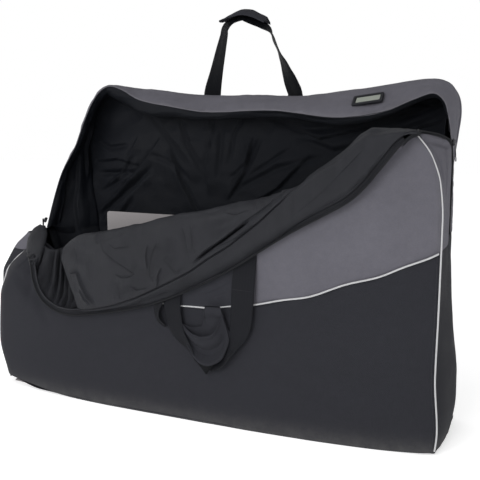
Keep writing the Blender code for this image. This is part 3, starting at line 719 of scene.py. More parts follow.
zs = np.concatenate([np.linspace(0.012, 0.70, 130), np.linspace(0.705, 0.762, 14)])
r3 = np.stack([seam_right(zs) + 0.0006, np.full_like(zs, -0.1265) - 0.0022 - 0.010 * smooth(0.70, 0.765, zs), zs], -1)
piece(tube("piping_right_cord", r3, 0.0021 - 0.0005 * smooth(0.40, 0.70, zs), PIPING, 8), "bag", "piping", "piping_front_right")
q = np.stack([seam_right(zs[:-10]) - 0.008, yf(seam_right(zs[:-10]) - 0.008, zs[:-10]) - 0.0004, zs[:-10]], -1)
piece(stitches("stitch_front_right", q, (0, -1, 0), THREAD_GREY), "bag", "piping")


zs = np.linspace(0.030, 0.452, 110)
l3 = np.stack([side_x(zs) - 0.0010, left_seam_y(zs) - 0.0012, zs], -1)
piece(tube("piping_left_cord", l3, 0.0023, PIPING, 8), "bag", "piping", "piping_front_left")

# ---------------------------------------------------------------- gussets, base and rear
bulge_left = prof([(0.0, -0.640), (0.06, -0.655), (0.13, -0.667), (0.20, -0.670), (0.27, -0.673), (0.333, -0.663), (0.376, -0.640), (0.425, -0.606), (0.464, -0.560), (0.49, -0.545)])


def left_wall(y, z):
    """The left end: from the front seam it swells out at once, then runs flat to the rear seam."""
    xs_, xb_, xr_ = side_x(z), bulge_left(z), edge_left(z) + 0.004
    y0 = left_seam_y(z)
    k = np.clip((y - y0) / 0.040, 0, 1)
    front = mix(xs_, xb_, np.sqrt(np.clip(1 - (1 - k) ** 2.2, 0, 1)))
    return mix(front, xr_, smooth(-0.02, 0.128, y) ** 1.3)


def left_gusset(name, z0, z1, material, slot_name, nodes, nu=64, nv=60):
    u, v = np.meshgrid(np.linspace(0, 1, nu) ** 1.4, np.linspace(0, 1, nv), indexing="ij")
    z = mix(z0, z1, v)
    yy = mix(left_seam_y(z), 0.1245, u)
    P = np.stack([left_wall(yy, z), yy, z], -1)
    h = 0.0028 * crumple(P * np.array([0, 1, 1]), (1, 14, 16), 6) * np.sin(math.pi * np.clip(u, 0, 1)) ** 0.5
    o = cloth(name, P, material, (-1, 0, 0), t=0.002, lift=h)
    piece(o, "bag", slot_name, *nodes)
    return P


left_gusset("left_end_lower", 0.012, 0.4105, BLACK, "black_fabric", ("left_gusset_lower",))
left_gusset("left_end_upper", 0.4125, 0.462, GREY, "grey_fabric", ("left_gusset_upper",), nv=12)
lin_left = prof([(0.0, -0.60), (0.20, -0.56), (0.45, -0.455), (0.57, -0.470), (0.69, -0.480), (0.78, -0.455), (0.86, -0.410)])
u, v = np.meshgrid(np.linspace(0, 1, 80), np.linspace(0, 1, 70), indexing="ij")
yy = mix(-0.108, 0.108, u)
z = mix(0.014, 0.466 - 0.130 * smooth(0.045, 0.090, yy), v)
xx = mix(np.maximum(left_wall(yy, z), -0.64) + 0.012, lin_left(z) - 0.004, smooth(0.50, 1.0, u))
P = np.stack([xx, yy, z], -1)
o = cloth("left_end_inside", P, INNER_SHADED, (1, 0, 0), t=0.001, lift=0.004 * crumple(P, (9, 12, 12), 7) + 0.004)
piece(o, "bag", "lining", "left_gusset_lining")

# base
u, v = np.meshgrid(np.linspace(0, 1, 160), np.linspace(0, 1, 40), indexing="ij")
xb = mix(-0.634, 0.640, u)
yb0 = yf(xb, 0.0) + 0.001
yb0 = np.where(xb < -0.59, yb0 + 0.03 * ((-0.59 - xb) / 0.044) ** 2, yb0)
yb = mix(yb0, np.full_like(xb, 0.136), v)
edge = 1 - np.minimum(v, 1 - v) / 0.06
zb = np.where(edge > 0, 0.004 * np.clip(edge, 0, 1) ** 2, 0.0) + np.where(xb < -0.50, 0.028 * (np.clip(-0.50 - xb, 0, 1) / 0.134) ** 1.6, 0.0) * 0.9
P = np.stack([xb, yb, np.maximum(zb, 0) + 0.0006], -1)
base_o = cloth("base_cloth", P, BLACK, (0, 0, -1), t=0.0024, lift=0.0004 * crumple(P, (12, 12, 1), 8, 2) - 0.0002)
piece(base_o, "bag", "black_fabric", "base_panel")
u, v = np.meshgrid(np.linspace(0, 1, 90), np.linspace(0, 1, 26), indexing="ij")
xb = mix(-0.600, 0.618, u)
yb = mix(yf(xb, 0.0) + 0.016, np.full_like(xb, 0.110), v)
P = np.stack([xb, yb, np.full_like(xb, 0.0100)], -1)
o = cloth("floor_inside", P, INNER_SHADED, (0, 0, 1), t=0.0012, lift=0.0016 * crumple(P, (8, 8, 1), 9) + 0.0018)
piece(o, "bag", "lining", "floor_lining")

# rear panels (outside)
def rear_side_left(z):
    return edge_left(z) + 0.004


rear_right = prof([(0.0, 0.630), (0.07, 0.636), (0.137, 0.637), (0.20, 0.631), (0.30, 0.622), (0.38, 0.617), (0.455, 0.612), (0.52, 0.607), (0.62, 0.609), (0.74, 0.616), (0.80, 0.622), (0.84, 0.620), (0.89, 0.600)])
mid_right = prof([(0.0, 0.648), (0.05, 0.658), (0.11, 0.663), (0.177, 0.661), (0.24, 0.653), (0.33, 0.645), (0.40, 0.640), (0.476, 0.636), (0.55, 0.633), (0.622, 0.634), (0.680, 0.634), (0.715, 0.632), (0.741, 0.629), (0.80, 0.626)])


def rear_side_right(z):
    return rear_right(z) + 0.0


def ry(x, z):
    return 0.127 + 0.014 * np.maximum(0, 1 - np.abs(x / 0.65) ** 3) * (1 - 0.6 * z / HEIGHT)


def rear_h(x, z, seed):
    P = np.stack([x, x * 0, z], -1)
    return 0.0022 * noise(P, (5, 1, 6), seed) + 0.0009 * noise(P, (17, 1, 15), seed + 1)


x, z = solve_panel(160, 60, lambda x: foot(x) + 0.002, lambda x: 0.4690 + 0 * x, rear_side_left, rear_side_right)
o = cloth("rear_lower", np.stack([x, ry(x, z), z], -1), BLACK, (0, 1, 0), t=0.002, lift=rear_h(x, z, 21) - 0.001 * np.exp(-((0.469 - z) / 0.006) ** 2), wear=np.exp(-(z / 0.03) ** 2) * 0.8)
piece(o, "bag", "black_fabric", "rear_panel_lower")
x, z = solve_panel(160, 60, lambda x: 0.4710 + 0 * x, lambda x: rear_top(x) - 0.006, rear_side_left, rear_side_right)
drag = folds(x, z, [
    ([(-0.066, 0.86), (-0.07, 0.78), (-0.10, 0.68)], 0.003, 0.012, 0.002, 0.002, 0.04, 0, 1),
    ([(0.186, 0.86), (0.19, 0.78), (0.22, 0.66)], 0.003, 0.012, 0.002, 0.002, 0.04, 0, 1),
])
o = cloth("rear_upper", np.stack([x, ry(x, z) - 0.004 * smooth(0.80, 0.88, z), z], -1), GREY, (0, 1, 0), t=0.002, lift=rear_h(x, z, 23) + drag)
piece(o, "bag", "grey_fabric", "rear_panel_upper")
xs = np.linspace(0, 1, 200)
xr = mix(edge_left(0.47) + 0.006, rear_right(0.47) - 0.001, xs)
piece(tube("piping_rear_cord", np.stack([xr, ry(xr, 0.47) + 0.0012, np.full_like(xr, 0.47)], -1), 0.0023, PIPING, 8), "bag", "piping", "piping_rear_seam")
zs = np.linspace(0.014, 0.80, 120)
piece(tube("piping_rear_left_cord", np.stack([edge_left(zs) + 0.003, np.full_like(zs, 0.1285), zs], -1), 0.0023, PIPING, 8), "bag", "piping", "piping_rear_left")
piece(tube("piping_rear_right_cord", np.stack([rear_right(zs) + 0.0005, np.full_like(zs, 0.1285), zs], -1), 0.0023, PIPING, 8), "bag", "piping", "piping_rear_right")
for off, nm, mat in ((0.007, "above", THREAD_GREY), (-0.007, "below", THREAD)):
    q = np.stack([xr, ry(xr, 0.47 + off) + 0.0006, np.full_like(xr, 0.47 + off)], -1)
    piece(stitches("stitch_rear_" + nm, q, (0, 1, 0), mat), "bag", "piping")

# right gusset: black below, grey above, zip line down its middle
def right_wall(y, z):
    a, m, b = seam_right(z), mid_right(z), rear_right(z)
    k = np.clip(y / 0.1265, -1, 1)
    out = np.where(k < 0, m + (a - m) * np.abs(k) ** 1.9, m + (b - m) * np.abs(k) ** 1.7)
    return out


def right_piece(name, z0, z1, y0, y1, material, slot_name, nodes, nu=40, nv=60, seed=31):
    u, v = np.meshgrid(np.linspace(0, 1, nu), np.linspace(0, 1, nv), indexing="ij")
    yy = mix(y0, y1, u)
    z = mix(z0(yy), z1(yy), v)
    P = np.stack([right_wall(yy, z), yy, z], -1)
    h = 0.0022 * crumple(P * np.array([0, 1, 1]), (1, 12, 10), seed) * np.sin(math.pi * np.clip((yy + 0.1265) / 0.2515, 0, 1)) ** 0.4
    h = h + folds(yy, z, [
        ([(-0.122, 0.742), (-0.09, 0.734), (-0.045, 0.727), (-0.02, 0.724)], 0.0055, 0.0050, 0.004, 0.001, 0.014, 0, 1),
        ([(-0.115, 0.735), (-0.10, 0.70), (-0.095, 0.64)], 0.0030, 0.0060, 0.002, 0.002, 0.020, 0, 1),
        ([(-0.055, 0.724), (-0.060, 0.67), (-0.07, 0.60)], 0.0028, 0.0060, 0.002, 0.002, 0.020, 0, 1),
    ])
    o = cloth(name, P, material, (1, 0, 0), t=0.002, lift=h, wear=np.exp(-(z / 0.03) ** 2) * 0.7)
    piece(o, "bag", slot_name, *nodes)


cut = prof([(-0.13, 0.4900), (-0.02, 0.4915), (0.0, 0.5100), (0.04, 0.5160), (0.125, 0.5170)])
# the lower right end uses the darkened black, as painted shade
right_piece("right_end_lower", lambda y: 0.008 + 0 * y, lambda y: cut(y) - 0.0008, -0.1262, 0.1262, SHADED_SIDE_BLACK, "black_fabric", ("right_gusset_lower",), 50, 70)
top_front = prof([(-0.1265, 0.758), (-0.118, 0.757), (-0.089, 0.752), (-0.063, 0.746), (-0.039, 0.739), (-0.011, 0.728)])
right_piece("right_end_front", lambda y: cut(y) + 0.0008, top_front, -0.1262, -0.0066, GREY, "grey_fabric", ("right_gusset_front_half",), 40, 60, 35)

# ---------------------------------------------------------------- rear half of the gusset, from the left end over the top to the right end
PAIRS = [
    ((-0.545, 0.123, 0.455), (-0.569, -0.004, 0.462)),
    ((-0.540, 0.124, 0.565), (-0.541, 0.000, 0.553)),
    ((-0.528, 0.124, 0.660), (-0.508, 0.000, 0.632)),
    ((-0.487, 0.124, 0.768), (-0.456, 0.000, 0.712)),
    ((-0.455, 0.122, 0.830), (-0.418, 0.000, 0.793)),
    ((-0.428, 0.120, 0.864), (-0.380, 0.003, 0.856)),
    ((-0.392, 0.118, 0.879), (-0.342, 0.008, 0.881)),
    ((-0.345, 0.119, 0.876), (-0.300, 0.013, 0.871)),
    ((-0.270, 0.120, 0.868), (-0.240, 0.010, 0.842)),
    ((-0.150, 0.120, 0.859), (-0.130, 0.006, 0.822)),
    ((0.000, 0.120, 0.853), (-0.020, 0.004, 0.808)),
    ((0.200, 0.120, 0.850), (0.170, 0.004, 0.812)),
    ((0.370, 0.120, 0.868), (0.340, 0.004, 0.794)),
    ((0.500, 0.120, 0.886), (0.460, 0.004, 0.808)),
    ((0.560, 0.120, 0.890), (0.535, 0.006, 0.838)),
    ((0.598, 0.120, 0.878), (0.582, 0.006, 0.852)),
    ((0.620, 0.120, 0.850), (0.608, 0.006, 0.834)),
    ((0.6265, 0.121, 0.812), (0.620, 0.005, 0.800)),
    ((0.6215, 0.123, 0.760), (0.6285, 0.004, 0.752)),
    ((0.613, 0.124, 0.690), (0.6335, 0.0060, 0.690)),
    ((0.6085, 0.124, 0.610), (0.6352, 0.0066, 0.610)),
    ((0.607, 0.125, 0.5178), (0.6340, 0.0066, 0.5178)),
]
_r = np.array([p[0] for p in PAIRS])
_f = np.array([p[1] for p in PAIRS])
_k = np.concatenate([[0.0], np.cumsum(np.linalg.norm(np.diff((_r + _f) / 2, axis=0), axis=1))])
KNOT = _k / _k[-1]
rear_line = spline(_r, _k)
free_line = spline(_f, _k)


def band_grid(s0, s1, nu, nv, v0=0.0, v1=1.0, crown=0.012):
    s = np.linspace(s0, s1, nu)
    v = np.linspace(v0, v1, nv)
    R, F = rear_line(s), free_line(s)
    P = R[:, None, :] + (F - R)[:, None, :] * v[None, :, None]
    d = np.gradient(P, axis=0)
    e = np.gradient(P, axis=1)
    n = np.cross(d, e)
    n = n / np.linalg.norm(n, axis=2, keepdims=True)
    return P, n, s, v, crown


def band_piece(name, s0, s1, nu, nv, nodes, seed):
    P, n, s, v, _ = band_grid(s0, s1, nu, nv)
    mid = np.array([-0.0, 0.05, 0.55])
    if ((n * (P - mid)).sum(axis=2)).mean() < 0:
        n = -n
    c = (0.010 + 0.004 * np.sin(s * 40.0)) * mix(0.45, 1.0, smooth(KNOT[4], KNOT[7], s) * (1 - smooth(KNOT[14], KNOT[17], s)))
    # the cloth turns over the rear seam, then droops and lifts again at the zip
    shape = 0.85 * np.sin(math.pi * v) ** 0.7 + 0.35 * np.sin(2 * math.pi * v) * (v < 0.5)
    P = P + n * (c[:, None] * shape[None, :])[..., None]
    fade = (np.sin(math.pi * np.clip(v, 0.0, 1.0)) ** 0.4)[None, :]
    h = 0.0035 * noise(P, (9, 6, 9), seed) * fade + (0.0010 + 0.0012 * smooth(0.5, 0.95, v))[None, :] * crumple(P, (34, 20, 34), seed + 2) * np.minimum(1, (1 - v) / 0.04)[None, :] * np.minimum(1, v / 0.06)[None, :]
    h = h - 0.0060 * np.exp(-((np.linalg.norm(P - np.array([0.4155, 0.0613, 0.8501]), axis=2) / 0.070) ** 4))
    out = np.array([0, 0, 1.0]) if s0 > 0.2 and s1 < 0.8 else (np.array([-1.0, 0, 0.3]) if s1 < 0.5 else np.array([1.0, 0, 0.3]))
    o = cloth(name, P, GREY, out, t=0.002, lift=h, wear=np.repeat((np.exp(-((1 - v) / 0.06) ** 2) * 0.5)[None, :], nu, axis=0))
    piece(o, "bag", "grey_fabric", *nodes)
    return P


S_LEFT, S_RIGHT = KNOT[6] - 0.004, KNOT[20]
band_piece("left_end_rear", 0.0, S_LEFT, 90, 34, ("left_gusset_rear_half",), 41)
band_piece("top_rear", S_LEFT, S_RIGHT, 260, 40, ("top_gusset_rear",), 43)
band_piece("right_end_rear", S_RIGHT, 1.0, 60, 34, ("right_gusset_rear_half",), 45)

# lining of that half: hangs loose below the strip, lies flat at the ends
droop = prof([(0.0, 0.010), (KNOT[4], 0.012), (KNOT[6], 0.022), (KNOT[7], 0.036), (KNOT[8], 0.042), (KNOT[9], 0.036), (KNOT[10], 0.026), (KNOT[11], 0.030), (KNOT[12], 0.036), (KNOT[13], 0.028), (KNOT[14], 0.020), (KNOT[15], 0.016), (KNOT[18], 0.010), (1.0, 0.008)])


def lining_rows(s):
    R, F = rear_line(s), free_line(s)
    top = smooth(KNOT[5], KNOT[8], s) * (1 - smooth(KNOT[14], KNOT[16], s))
    n = np.cross(np.gradient(F, axis=0), R - F)
    n = n / np.linalg.norm(n, axis=1, keepdims=True)
    centre = np.array([0.02, 0.06, 0.45])
    n = np.where(((centre - F) * n).sum(axis=1, keepdims=True) < 0, -n, n)
    d = droop(s)[:, None]
    down = np.array([0.0, 0.0, -1.0])
    into = n * (1 - top[:, None]) + down * top[:, None]
    rows = [
        F + into * 0.003,
        mix(F, R, 0.10) + into * d * 0.75,
        mix(F, R, 0.30) + into * d,
        mix(F, R, 0.62) + into * (d * 0.75 + 0.004),
        mix(F, R, 0.93) + into * (0.012 + 0.25 * d),
    ]
    side = (1 - smooth(KNOT[4], KNOT[6], s))[:, None]
    corner = np.stack([lin_left(R[:, 2]) - 0.004, np.full(len(s), 0.108), R[:, 2]], -1)
    rows[4] = mix(rows[4], corner, side)
    rows[3] = mix(rows[3], mix(F, corner, 0.66) + into * 0.004, side)
    return np.array(rows)


s = np.linspace(0.0, S_LEFT + 0.01, 150)
P = np.swapaxes(spline(lining_rows(s), [0, 0.15, 0.4, 0.75, 1.0])(np.linspace(0, 1, 46)), 0, 1)
low = np.array([P[0] + np.array([0.004 * k, 0.0, -0.011 * k]) for k in range(16, 0, -1)])
P = np.concatenate([low, P])
h = 0.0045 * crumple(P, (10, 22, 7), 51) + 0.006 * (ridged(P, (14, 30, 4), 52) - 0.5)
h = h + creases(P[..., 1], P[..., 2], [
    ([(0.060, 0.70), (0.066, 0.60), (0.062, 0.52), (0.068, 0.42)], 0.010, 0.0030, 0.020, 1, 1, 1),
    ([(0.020, 0.64), (0.034, 0.56), (0.030, 0.46)], 0.007, 0.0030, 0.016, -1, 1, 1),
    ([(0.090, 0.78), (0.084, 0.70), (0.092, 0.60)], 0.008, 0.0030, 0.018, 1, 1, 1),
])
fade = np.minimum(np.linspace(0, 1, 46) / 0.1, 1)[None, :]
o = cloth("left_end_rear_lining", P, INNER_SHADED, (1, 0, 0), t=0.001, lift=h * fade)
piece(o, "bag", "lining", "left_gusset_rear_lining")
s = np.linspace(S_LEFT, KNOT[17], 300)
P = np.swapaxes(spline(lining_rows(s), [0, 0.2, 0.4, 0.72, 1.0])(np.linspace(0, 1, 60)), 0, 1)
h = 0.0075 * crumple(P, (5, 14, 16), 53) + 0.008 * (ridged(P, (7, 16, 16), 54) - 0.5)
fade = np.minimum(np.linspace(0, 1, 60) / 0.08, 1)[None, :]
top_lining = cloth("top_rear_lining", P, INNER_SHADED, (0, -1, -0.5), t=0.001, lift=h * fade)
piece(top_lining, "bag", "lining", "top_gusset_lining")

# inner face of the right end
u, v = np.meshgrid(np.linspace(0, 1, 50), np.linspace(0, 1, 80), indexing="ij")
z = mix(0.014, 0.79, v)
ya = mix(-0.112, 0.108, u)
ya = np.where(z > 0.70, mix(np.full_like(z, 0.004), 0.108, u) * smooth(0.70, 0.76, z) + ya * (1 - smooth(0.70, 0.76, z)), ya)
P = np.stack([right_wall(ya, np.minimum(z, 0.735)) - 0.013, ya, z], -1)
o = cloth("right_end_inside", P, INNER_SHADED, (-1, 0, 0), t=0.001, lift=0.004 * crumple(P, (9, 12, 9), 57) + 0.003)
piece(o, "bag", "lining", "right_gusset_lining")

# ---------------------------------------------------------------- inside of the rear wall
x, z = solve_panel(300, 190, lambda x: 0.014 + 0 * x, lambda x: rear_top(x) - 0.016, lambda z: lin_left(z) - 0.020, lambda z: rear_right(z) - 0.010)
P = np.stack([x, 0.112 + 0 * x, z], -1)
h = 0.010 * smooth(0.55, 0.80, z)
rays = []
for k, (a, w, r0, r1, d) in enumerate((
    (5, 0.007, 0.09, 0.30, 0.006), (21, 0.009, 0.05, 0.38, 0.006), (33, 0.005, 0.12, 0.28, 0.004), (52, 0.008, 0.06, 0.24, 0.007),
    (66, 0.005, 0.10, 0.30, 0.004), (83, 0.008, 0.05, 0.22, 0.005), (96, 0.005, 0.13, 0.27, 0.004), (114, 0.008, 0.06, 0.30, 0.006),
    (131, 0.006, 0.10, 0.34, 0.005), (150, 0.008, 0.08, 0.26, 0.006), (-14, 0.008, 0.07, 0.42, 0.006), (-31, 0.006, 0.12, 0.30, 0.005),
)):
    c, sn = math.cos(math.radians(a)), math.sin(math.radians(a))
    bend = 0.018 * ((k * 5) % 3 - 1)
    rm = (r0 + r1) / 2
    rays.append(([(-0.05 + c * r0, 0.56 + sn * r0), (-0.05 + c * rm - sn * bend, 0.56 + sn * rm + c * bend), (-0.05 + c * r1, 0.56 + sn * r1)], d, w, 0.6 * d, 0.3 * d, 0.028, 1, 1))
rays += [
    ([(-0.46, 0.48), (-0.40, 0.53), (-0.31, 0.60), (-0.24, 0.66)], 0.010, 0.009, 0.010, 0.003, 0.028, 1, 1),
    ([(-0.45, 0.56), (-0.38, 0.60), (-0.30, 0.69)], 0.008, 0.008, 0.008, 0.002, 0.022, 1, 1),
    ([(-0.46, 0.62), (-0.39, 0.625), (-0.30, 0.63)], 0.008, 0.008, 0.006, 0.003, 0.022, 1, 1),
    ([(-0.44, 0.45), (-0.37, 0.50), (-0.32, 0.56)], 0.010, 0.007, 0.008, 0.003, 0.020, 1, 1),
    ([(-0.45, 0.72), (-0.40, 0.70), (-0.33, 0.71)], 0.006, 0.008, 0.005, 0.003, 0.024, 1, 1),
    ([(0.10, 0.80), (0.22, 0.76), (0.34, 0.77)], 0.010, 0.012, 0.008, 0.002, 0.04, 1, 1),
    ([(0.20, 0.74), (0.30, 0.70), (0.42, 0.72)], 0.009, 0.012, 0.007, 0.002, 0.04, 1, 1),
    ([(0.42, 0.70), (0.50, 0.76), (0.60, 0.80)], 0.009, 0.010, 0.007, 0.002, 0.035, 1, 1),
    ([(0.45, 0.78), (0.54, 0.81), (0.61, 0.84)], 0.007, 0.009, 0.006, 0.002, 0.03, 1, 1),
]
h = h + 0.75 * folds(x, z, rays) + 0.006 * crumple(P, (6, 1, 8), 61) + 0.0050 * (ridged(P, (12, 1, 16), 62) - 0.5)
h = h + creases(x, z, [
    ([(-0.46, 0.50), (-0.38, 0.56), (-0.28, 0.66), (-0.22, 0.74)], 0.012, 0.003, 0.026, -1, 1, 1),
    ([(-0.42, 0.58), (-0.35, 0.64), (-0.30, 0.74)], 0.010, 0.003, 0.022, -1, 1, 1),
    ([(-0.46, 0.66), (-0.38, 0.67), (-0.28, 0.65)], 0.008, 0.003, 0.024, 1, 1, 1),
    ([(-0.10, 0.50), (-0.16, 0.60), (-0.20, 0.72)], 0.010, 0.003, 0.026, 1, 1, 1),
    ([(-0.07, 0.56), (-0.08, 0.66), (-0.05, 0.78)], 0.009, 0.003, 0.024, -1, 1, 1),
    ([(-0.02, 0.55), (0.04, 0.64), (0.07, 0.75)], 0.010, 0.003, 0.026, 1, 1, 1),
    ([(0.03, 0.53), (0.14, 0.60), (0.24, 0.70)], 0.010, 0.003, 0.026, 1, 1, 1),
    ([(0.05, 0.50), (0.18, 0.54), (0.30, 0.62)], 0.008, 0.003, 0.024, -1, 1, 1),
    ([(0.16, 0.78), (0.27, 0.74), (0.40, 0.77), (0.50, 0.74)], 0.012, 0.0035, 0.030, 1, 1, 1),
    ([(0.38, 0.79), (0.47, 0.82), (0.58, 0.82)], 0.010, 0.003, 0.024, -1, 1, 1),
    ([(0.46, 0.70), (0.53, 0.77), (0.60, 0.79)], 0.010, 0.003, 0.024, 1, 1, 1),
])
rear_in = cloth("rear_inside", P, INNER_SHADED, (0, -1, 0), t=0.0012, lift=h)
piece(rear_in, "bag", "lining", "rear_lining", "rear_padding")

# ---------------------------------------------------------------- the flap
def y_hidden(x, z):
    return -np.maximum(-yf(x, z) + 0.009, 0.163)


NU = 760
u1 = np.linspace(0, 1, NU)
xc = mix(-0.402, 0.604, u1)
xz = mix(-0.330, 0.574, u1 ** 0.97)
zc = crest(xc)
# inner edge of the zip tape, set back from the zip edge
zx = np.gradient(zip_edge(xz), xz)
nrm = np.stack([-zx, np.ones_like(zx)], -1)
nrm = nrm / np.linalg.norm(nrm, axis=1, keepdims=True)
TAPE_W = mix(0.0045, 0.0135, smooth(0.24, 0.36, xz))
lx, lz = xz + nrm[:, 0] * TAPE_W, zip_edge(xz) + nrm[:, 1] * TAPE_W
Hh = np.maximum(zc - lz, 0.006)
q = np.clip(Hh / 0.11, 0.12, 1.0)
yl = lambda x, z: y_hidden(x, z) - 0.0085
y_top = np.minimum(yf(xc, zc - 0.02), -0.140)
rows = []
for (dy, dz, kx) in ((0.040, 0.085, 0.0), (0.036, 0.040, 0.0), (0.026, 0.010, 0.0), (0.006, 0.0, 0.0)):
    rows.append(np.stack([xc, y_top + dy, zc - dz], -1))
front0 = np.stack([xc, mix(y_top, yl(xc, zc), 0.55), zc - 0.004 * q], -1)
rows.append(front0)
for f, puff in ((0.13, 0.50), (0.30, 0.90), (0.52, 1.05), (0.74, 1.0), (0.90, 0.75), (1.0, 0.0)):
    xx, zz = mix(xc, lx, f), mix(zc, lz, f)
    rows.append(np.stack([xx, yl(xx, zz) - 0.012 * puff * q - 0.001 + 0.006 * smooth(0.85, 1.0, f) * (1 - smooth(0.24, 0.36, xz)), zz], -1))
knots = [0, 0.08, 0.14, 0.18, 0.23, 0.32, 0.46, 0.63, 0.80, 0.92, 1.0]
NV = 210
tv = np.linspace(0, 1, NV)
P = np.swapaxes(spline(np.array(rows), knots)(tv), 0, 1)
X, Z = P[..., 0], P[..., 2]
outside = smooth(0.19, 0.25, tv)[None, :]
SEAM = [(-0.330, 0.268), (-0.309, 0.270), (-0.221, 0.291), (-0.143, 0.319), (-0.089, 0.345), (-0.027, 0.378), (0.024, 0.407), (0.073, 0.442), (0.135, 0.481), (0.212, 0.542), (0.262, 0.588), (0.314, 0.638), (0.36, 0.675), (0.41, 0.712)]
lines = [
    (SEAM, 0.0042, 0.0019, 0.0026, 0.0030, 0.012, 0, 1),
    ([(0.026, 0.424), (0.067, 0.459), (0.117, 0.493), (0.160, 0.525), (0.195, 0.552)], 0.018, 0.0026, 0.010, 0.002, 0.022, 1, 1),
    ([(-0.35, 0.44), (-0.31, 0.42), (-0.26, 0.40)], 0.004, 0.020, 0.003, 0.003, 0.05, 1, 1),
    ([(-0.22, 0.36), (-0.18, 0.33), (-0.12, 0.34)], 0.005, 0.018, 0.003, 0.003, 0.05, 1, 1),
    ([(-0.03, 0.50), (-0.03, 0.45), (-0.01, 0.42)], 0.005, 0.018, 0.003, 0.002, 0.05, 1, 1),
    ([(0.06, 0.54), (0.10, 0.52), (0.17, 0.55)], 0.004, 0.018, 0.003, 0.002, 0.05, 1, 1),
]
sharp = [
    ([(-0.245, 0.478), (-0.241, 0.462), (-0.230, 0.444), (-0.197, 0.421), (-0.164, 0.405), (-0.140, 0.392), (-0.134, 0.376)], 0.0085, 0.0017, 0.028, 1, 1, 1),
    ([(-0.134, 0.392), (-0.150, 0.377), (-0.175, 0.372), (-0.205, 0.380)], 0.0035, 0.0020, 0.012, 1, 1, 1),
    ([(-0.066, 0.480), (-0.079, 0.440), (-0.086, 0.405), (-0.089, 0.366)], 0.0085, 0.0017, 0.020, 1, 1, 1),
    ([(-0.056, 0.415), (-0.070, 0.385), (-0.078, 0.352)], 0.0045, 0.0017, 0.012, -1, 1, 1),
    ([(-0.100, 0.470), (-0.104, 0.440), (-0.100, 0.400)], 0.0035, 0.0016, 0.016, -1, 1, 1),
    ([(-0.050, 0.440), (-0.030, 0.418), (-0.008, 0.396)], 0.0045, 0.0018, 0.016, 1, 1, 1),
    ([(-0.268, 0.488), (-0.264, 0.470), (-0.256, 0.455)], 0.0070, 0.0017, 0.012, 1, 0, 1),
    ([(-0.293, 0.420), (-0.287, 0.385), (-0.284, 0.350)], 0.0022, 0.0013, 0.006, 1, 1, 1),
    ([(-0.362, 0.350), (-0.350, 0.368), (-0.330, 0.372), (-0.313, 0.340), (-0.288, 0.306), (-0.262, 0.284)], 0.0060, 0.0019, 0.022, -1, 1, 1),
    ([(-0.345, 0.345), (-0.328, 0.318), (-0.296, 0.290)], 0.0045, 0.0017, 0.014, 1, 1, 1),
    ([(-0.318, 0.330), (-0.300, 0.304), (-0.280, 0.288)], 0.0035, 0.0016, 0.010, -1, 1, 1),
    ([(-0.192, 0.352), (-0.187, 0.335), (-0.184, 0.312)], 0.0035, 0.0016, 0.010, 1, 1, 1),
    ([(-0.16, 0.350), (-0.135, 0.340), (-0.10, 0.352)], 0.0030, 0.0016, 0.014, -1, 1, 1),
    ([(0.000, 0.52), (0.012, 0.49), (0.020, 0.45)], 0.0035, 0.0016, 0.016, 1, 1, 1),
    ([(0.025, 0.53), (0.033, 0.49), (0.036, 0.452)], 0.0040, 0.0017, 0.018, 1, 1, 1),
    ([(0.045, 0.445), (0.100, 0.478), (0.150, 0.500), (0.21, 0.550)], 0.0040, 0.0019, 0.010, 1, 1, 1),
    ([(0.135, 0.518), (0.190, 0.555), (0.243, 0.592), (0.303, 0.640), (0.361, 0.688), (0.41, 0.722)], 0.0050, 0.0018, 0.014, 1, 1, 1),
    ([(0.205, 0.608), (0.200, 0.590), (0.206, 0.568)], 0.0030, 0.0014, 0.008, 1, 1, 1),
    ([(0.226, 0.614), (0.221, 0.598), (0.227, 0.574)], 0.0032, 0.0014, 0.008, 1, 1, 1),
    ([(0.246, 0.624), (0.241, 0.606), (0.250, 0.584)], 0.0030, 0.0014, 0.008, 1, 1, 1),
    ([(0.270, 0.636), (0.266, 0.620), (0.276, 0.602)], 0.0026, 0.0014, 0.008, 1, 1, 1),
    ([(0.305, 0.655), (0.320, 0.668), (0.350, 0.690)], 0.0026, 0.0016, 0.010, -1, 1, 1),
    ([(0.36, 0.61), (0.40, 0.655), (0.47, 0.728)], 0.0022, 0.0018, 0.012, 1, 1, 1),
    ([(0.30, 0.56), (0.36, 0.61), (0.44, 0.69)], 0.0018, 0.0018, 0.012, -1, 1, 1),
    ([(-0.220, 0.465), (-0.196, 0.452), (-0.150, 0.462)], 0.0028, 0.0016, 0.016, 1, 1, 1),
    ([(-0.335, 0.445), (-0.325, 0.415), (-0.330, 0.390)], 0.0030, 0.0018, 0.018, 1, 1, 1),
    ([(0.115, 0.560), (0.150, 0.556), (0.190, 0.572)], 0.0030, 0.0016, 0.012, -1, 1, 1),
]
P3 = np.stack([X, P[..., 1] * 0, Z], -1)
warp = P3 + 0.012 * np.stack([noise(P3, (11, 1, 11), 76), 0 * X, noise(P3, (11, 1, 11), 77)], -1)
hair = (1 - np.abs(noise(warp, (20, 1, 9), 78))) ** 9 + 0.7 * (1 - np.abs(noise(warp, (13, 1, 17), 79))) ** 9
h = folds(X, Z, lines) + creases(X, Z, sharp) + 0.0052 * crumple(P3, (8, 1, 9), 71, 2) + 0.0016 * crumple(P3, (22, 1, 19), 70, 2) + 0.0011 * hair * (noise(P3, (4, 1, 5), 80) * 0.5 + 0.6)
ripple = 0.0007 * noise(P3, (95, 1, 9), 73) * smooth(0.18, 0.30, X) + 0.0005 * noise(P3, (60, 1, 25), 74)
h = (h + ripple) * outside * np.minimum(1, (1 - tv) / 0.03)[None, :] * mix(0.35, 1.0, q)[:, None]
h = h - 0.009 * (np.clip(1 - u1 / 0.022, 0, 1) ** 2)[:, None] * outside
h = h + (1 - outside) * 0.0022 * crumple(P * np.array([1, 1.0, 1]), (26, 10, 10), 75)
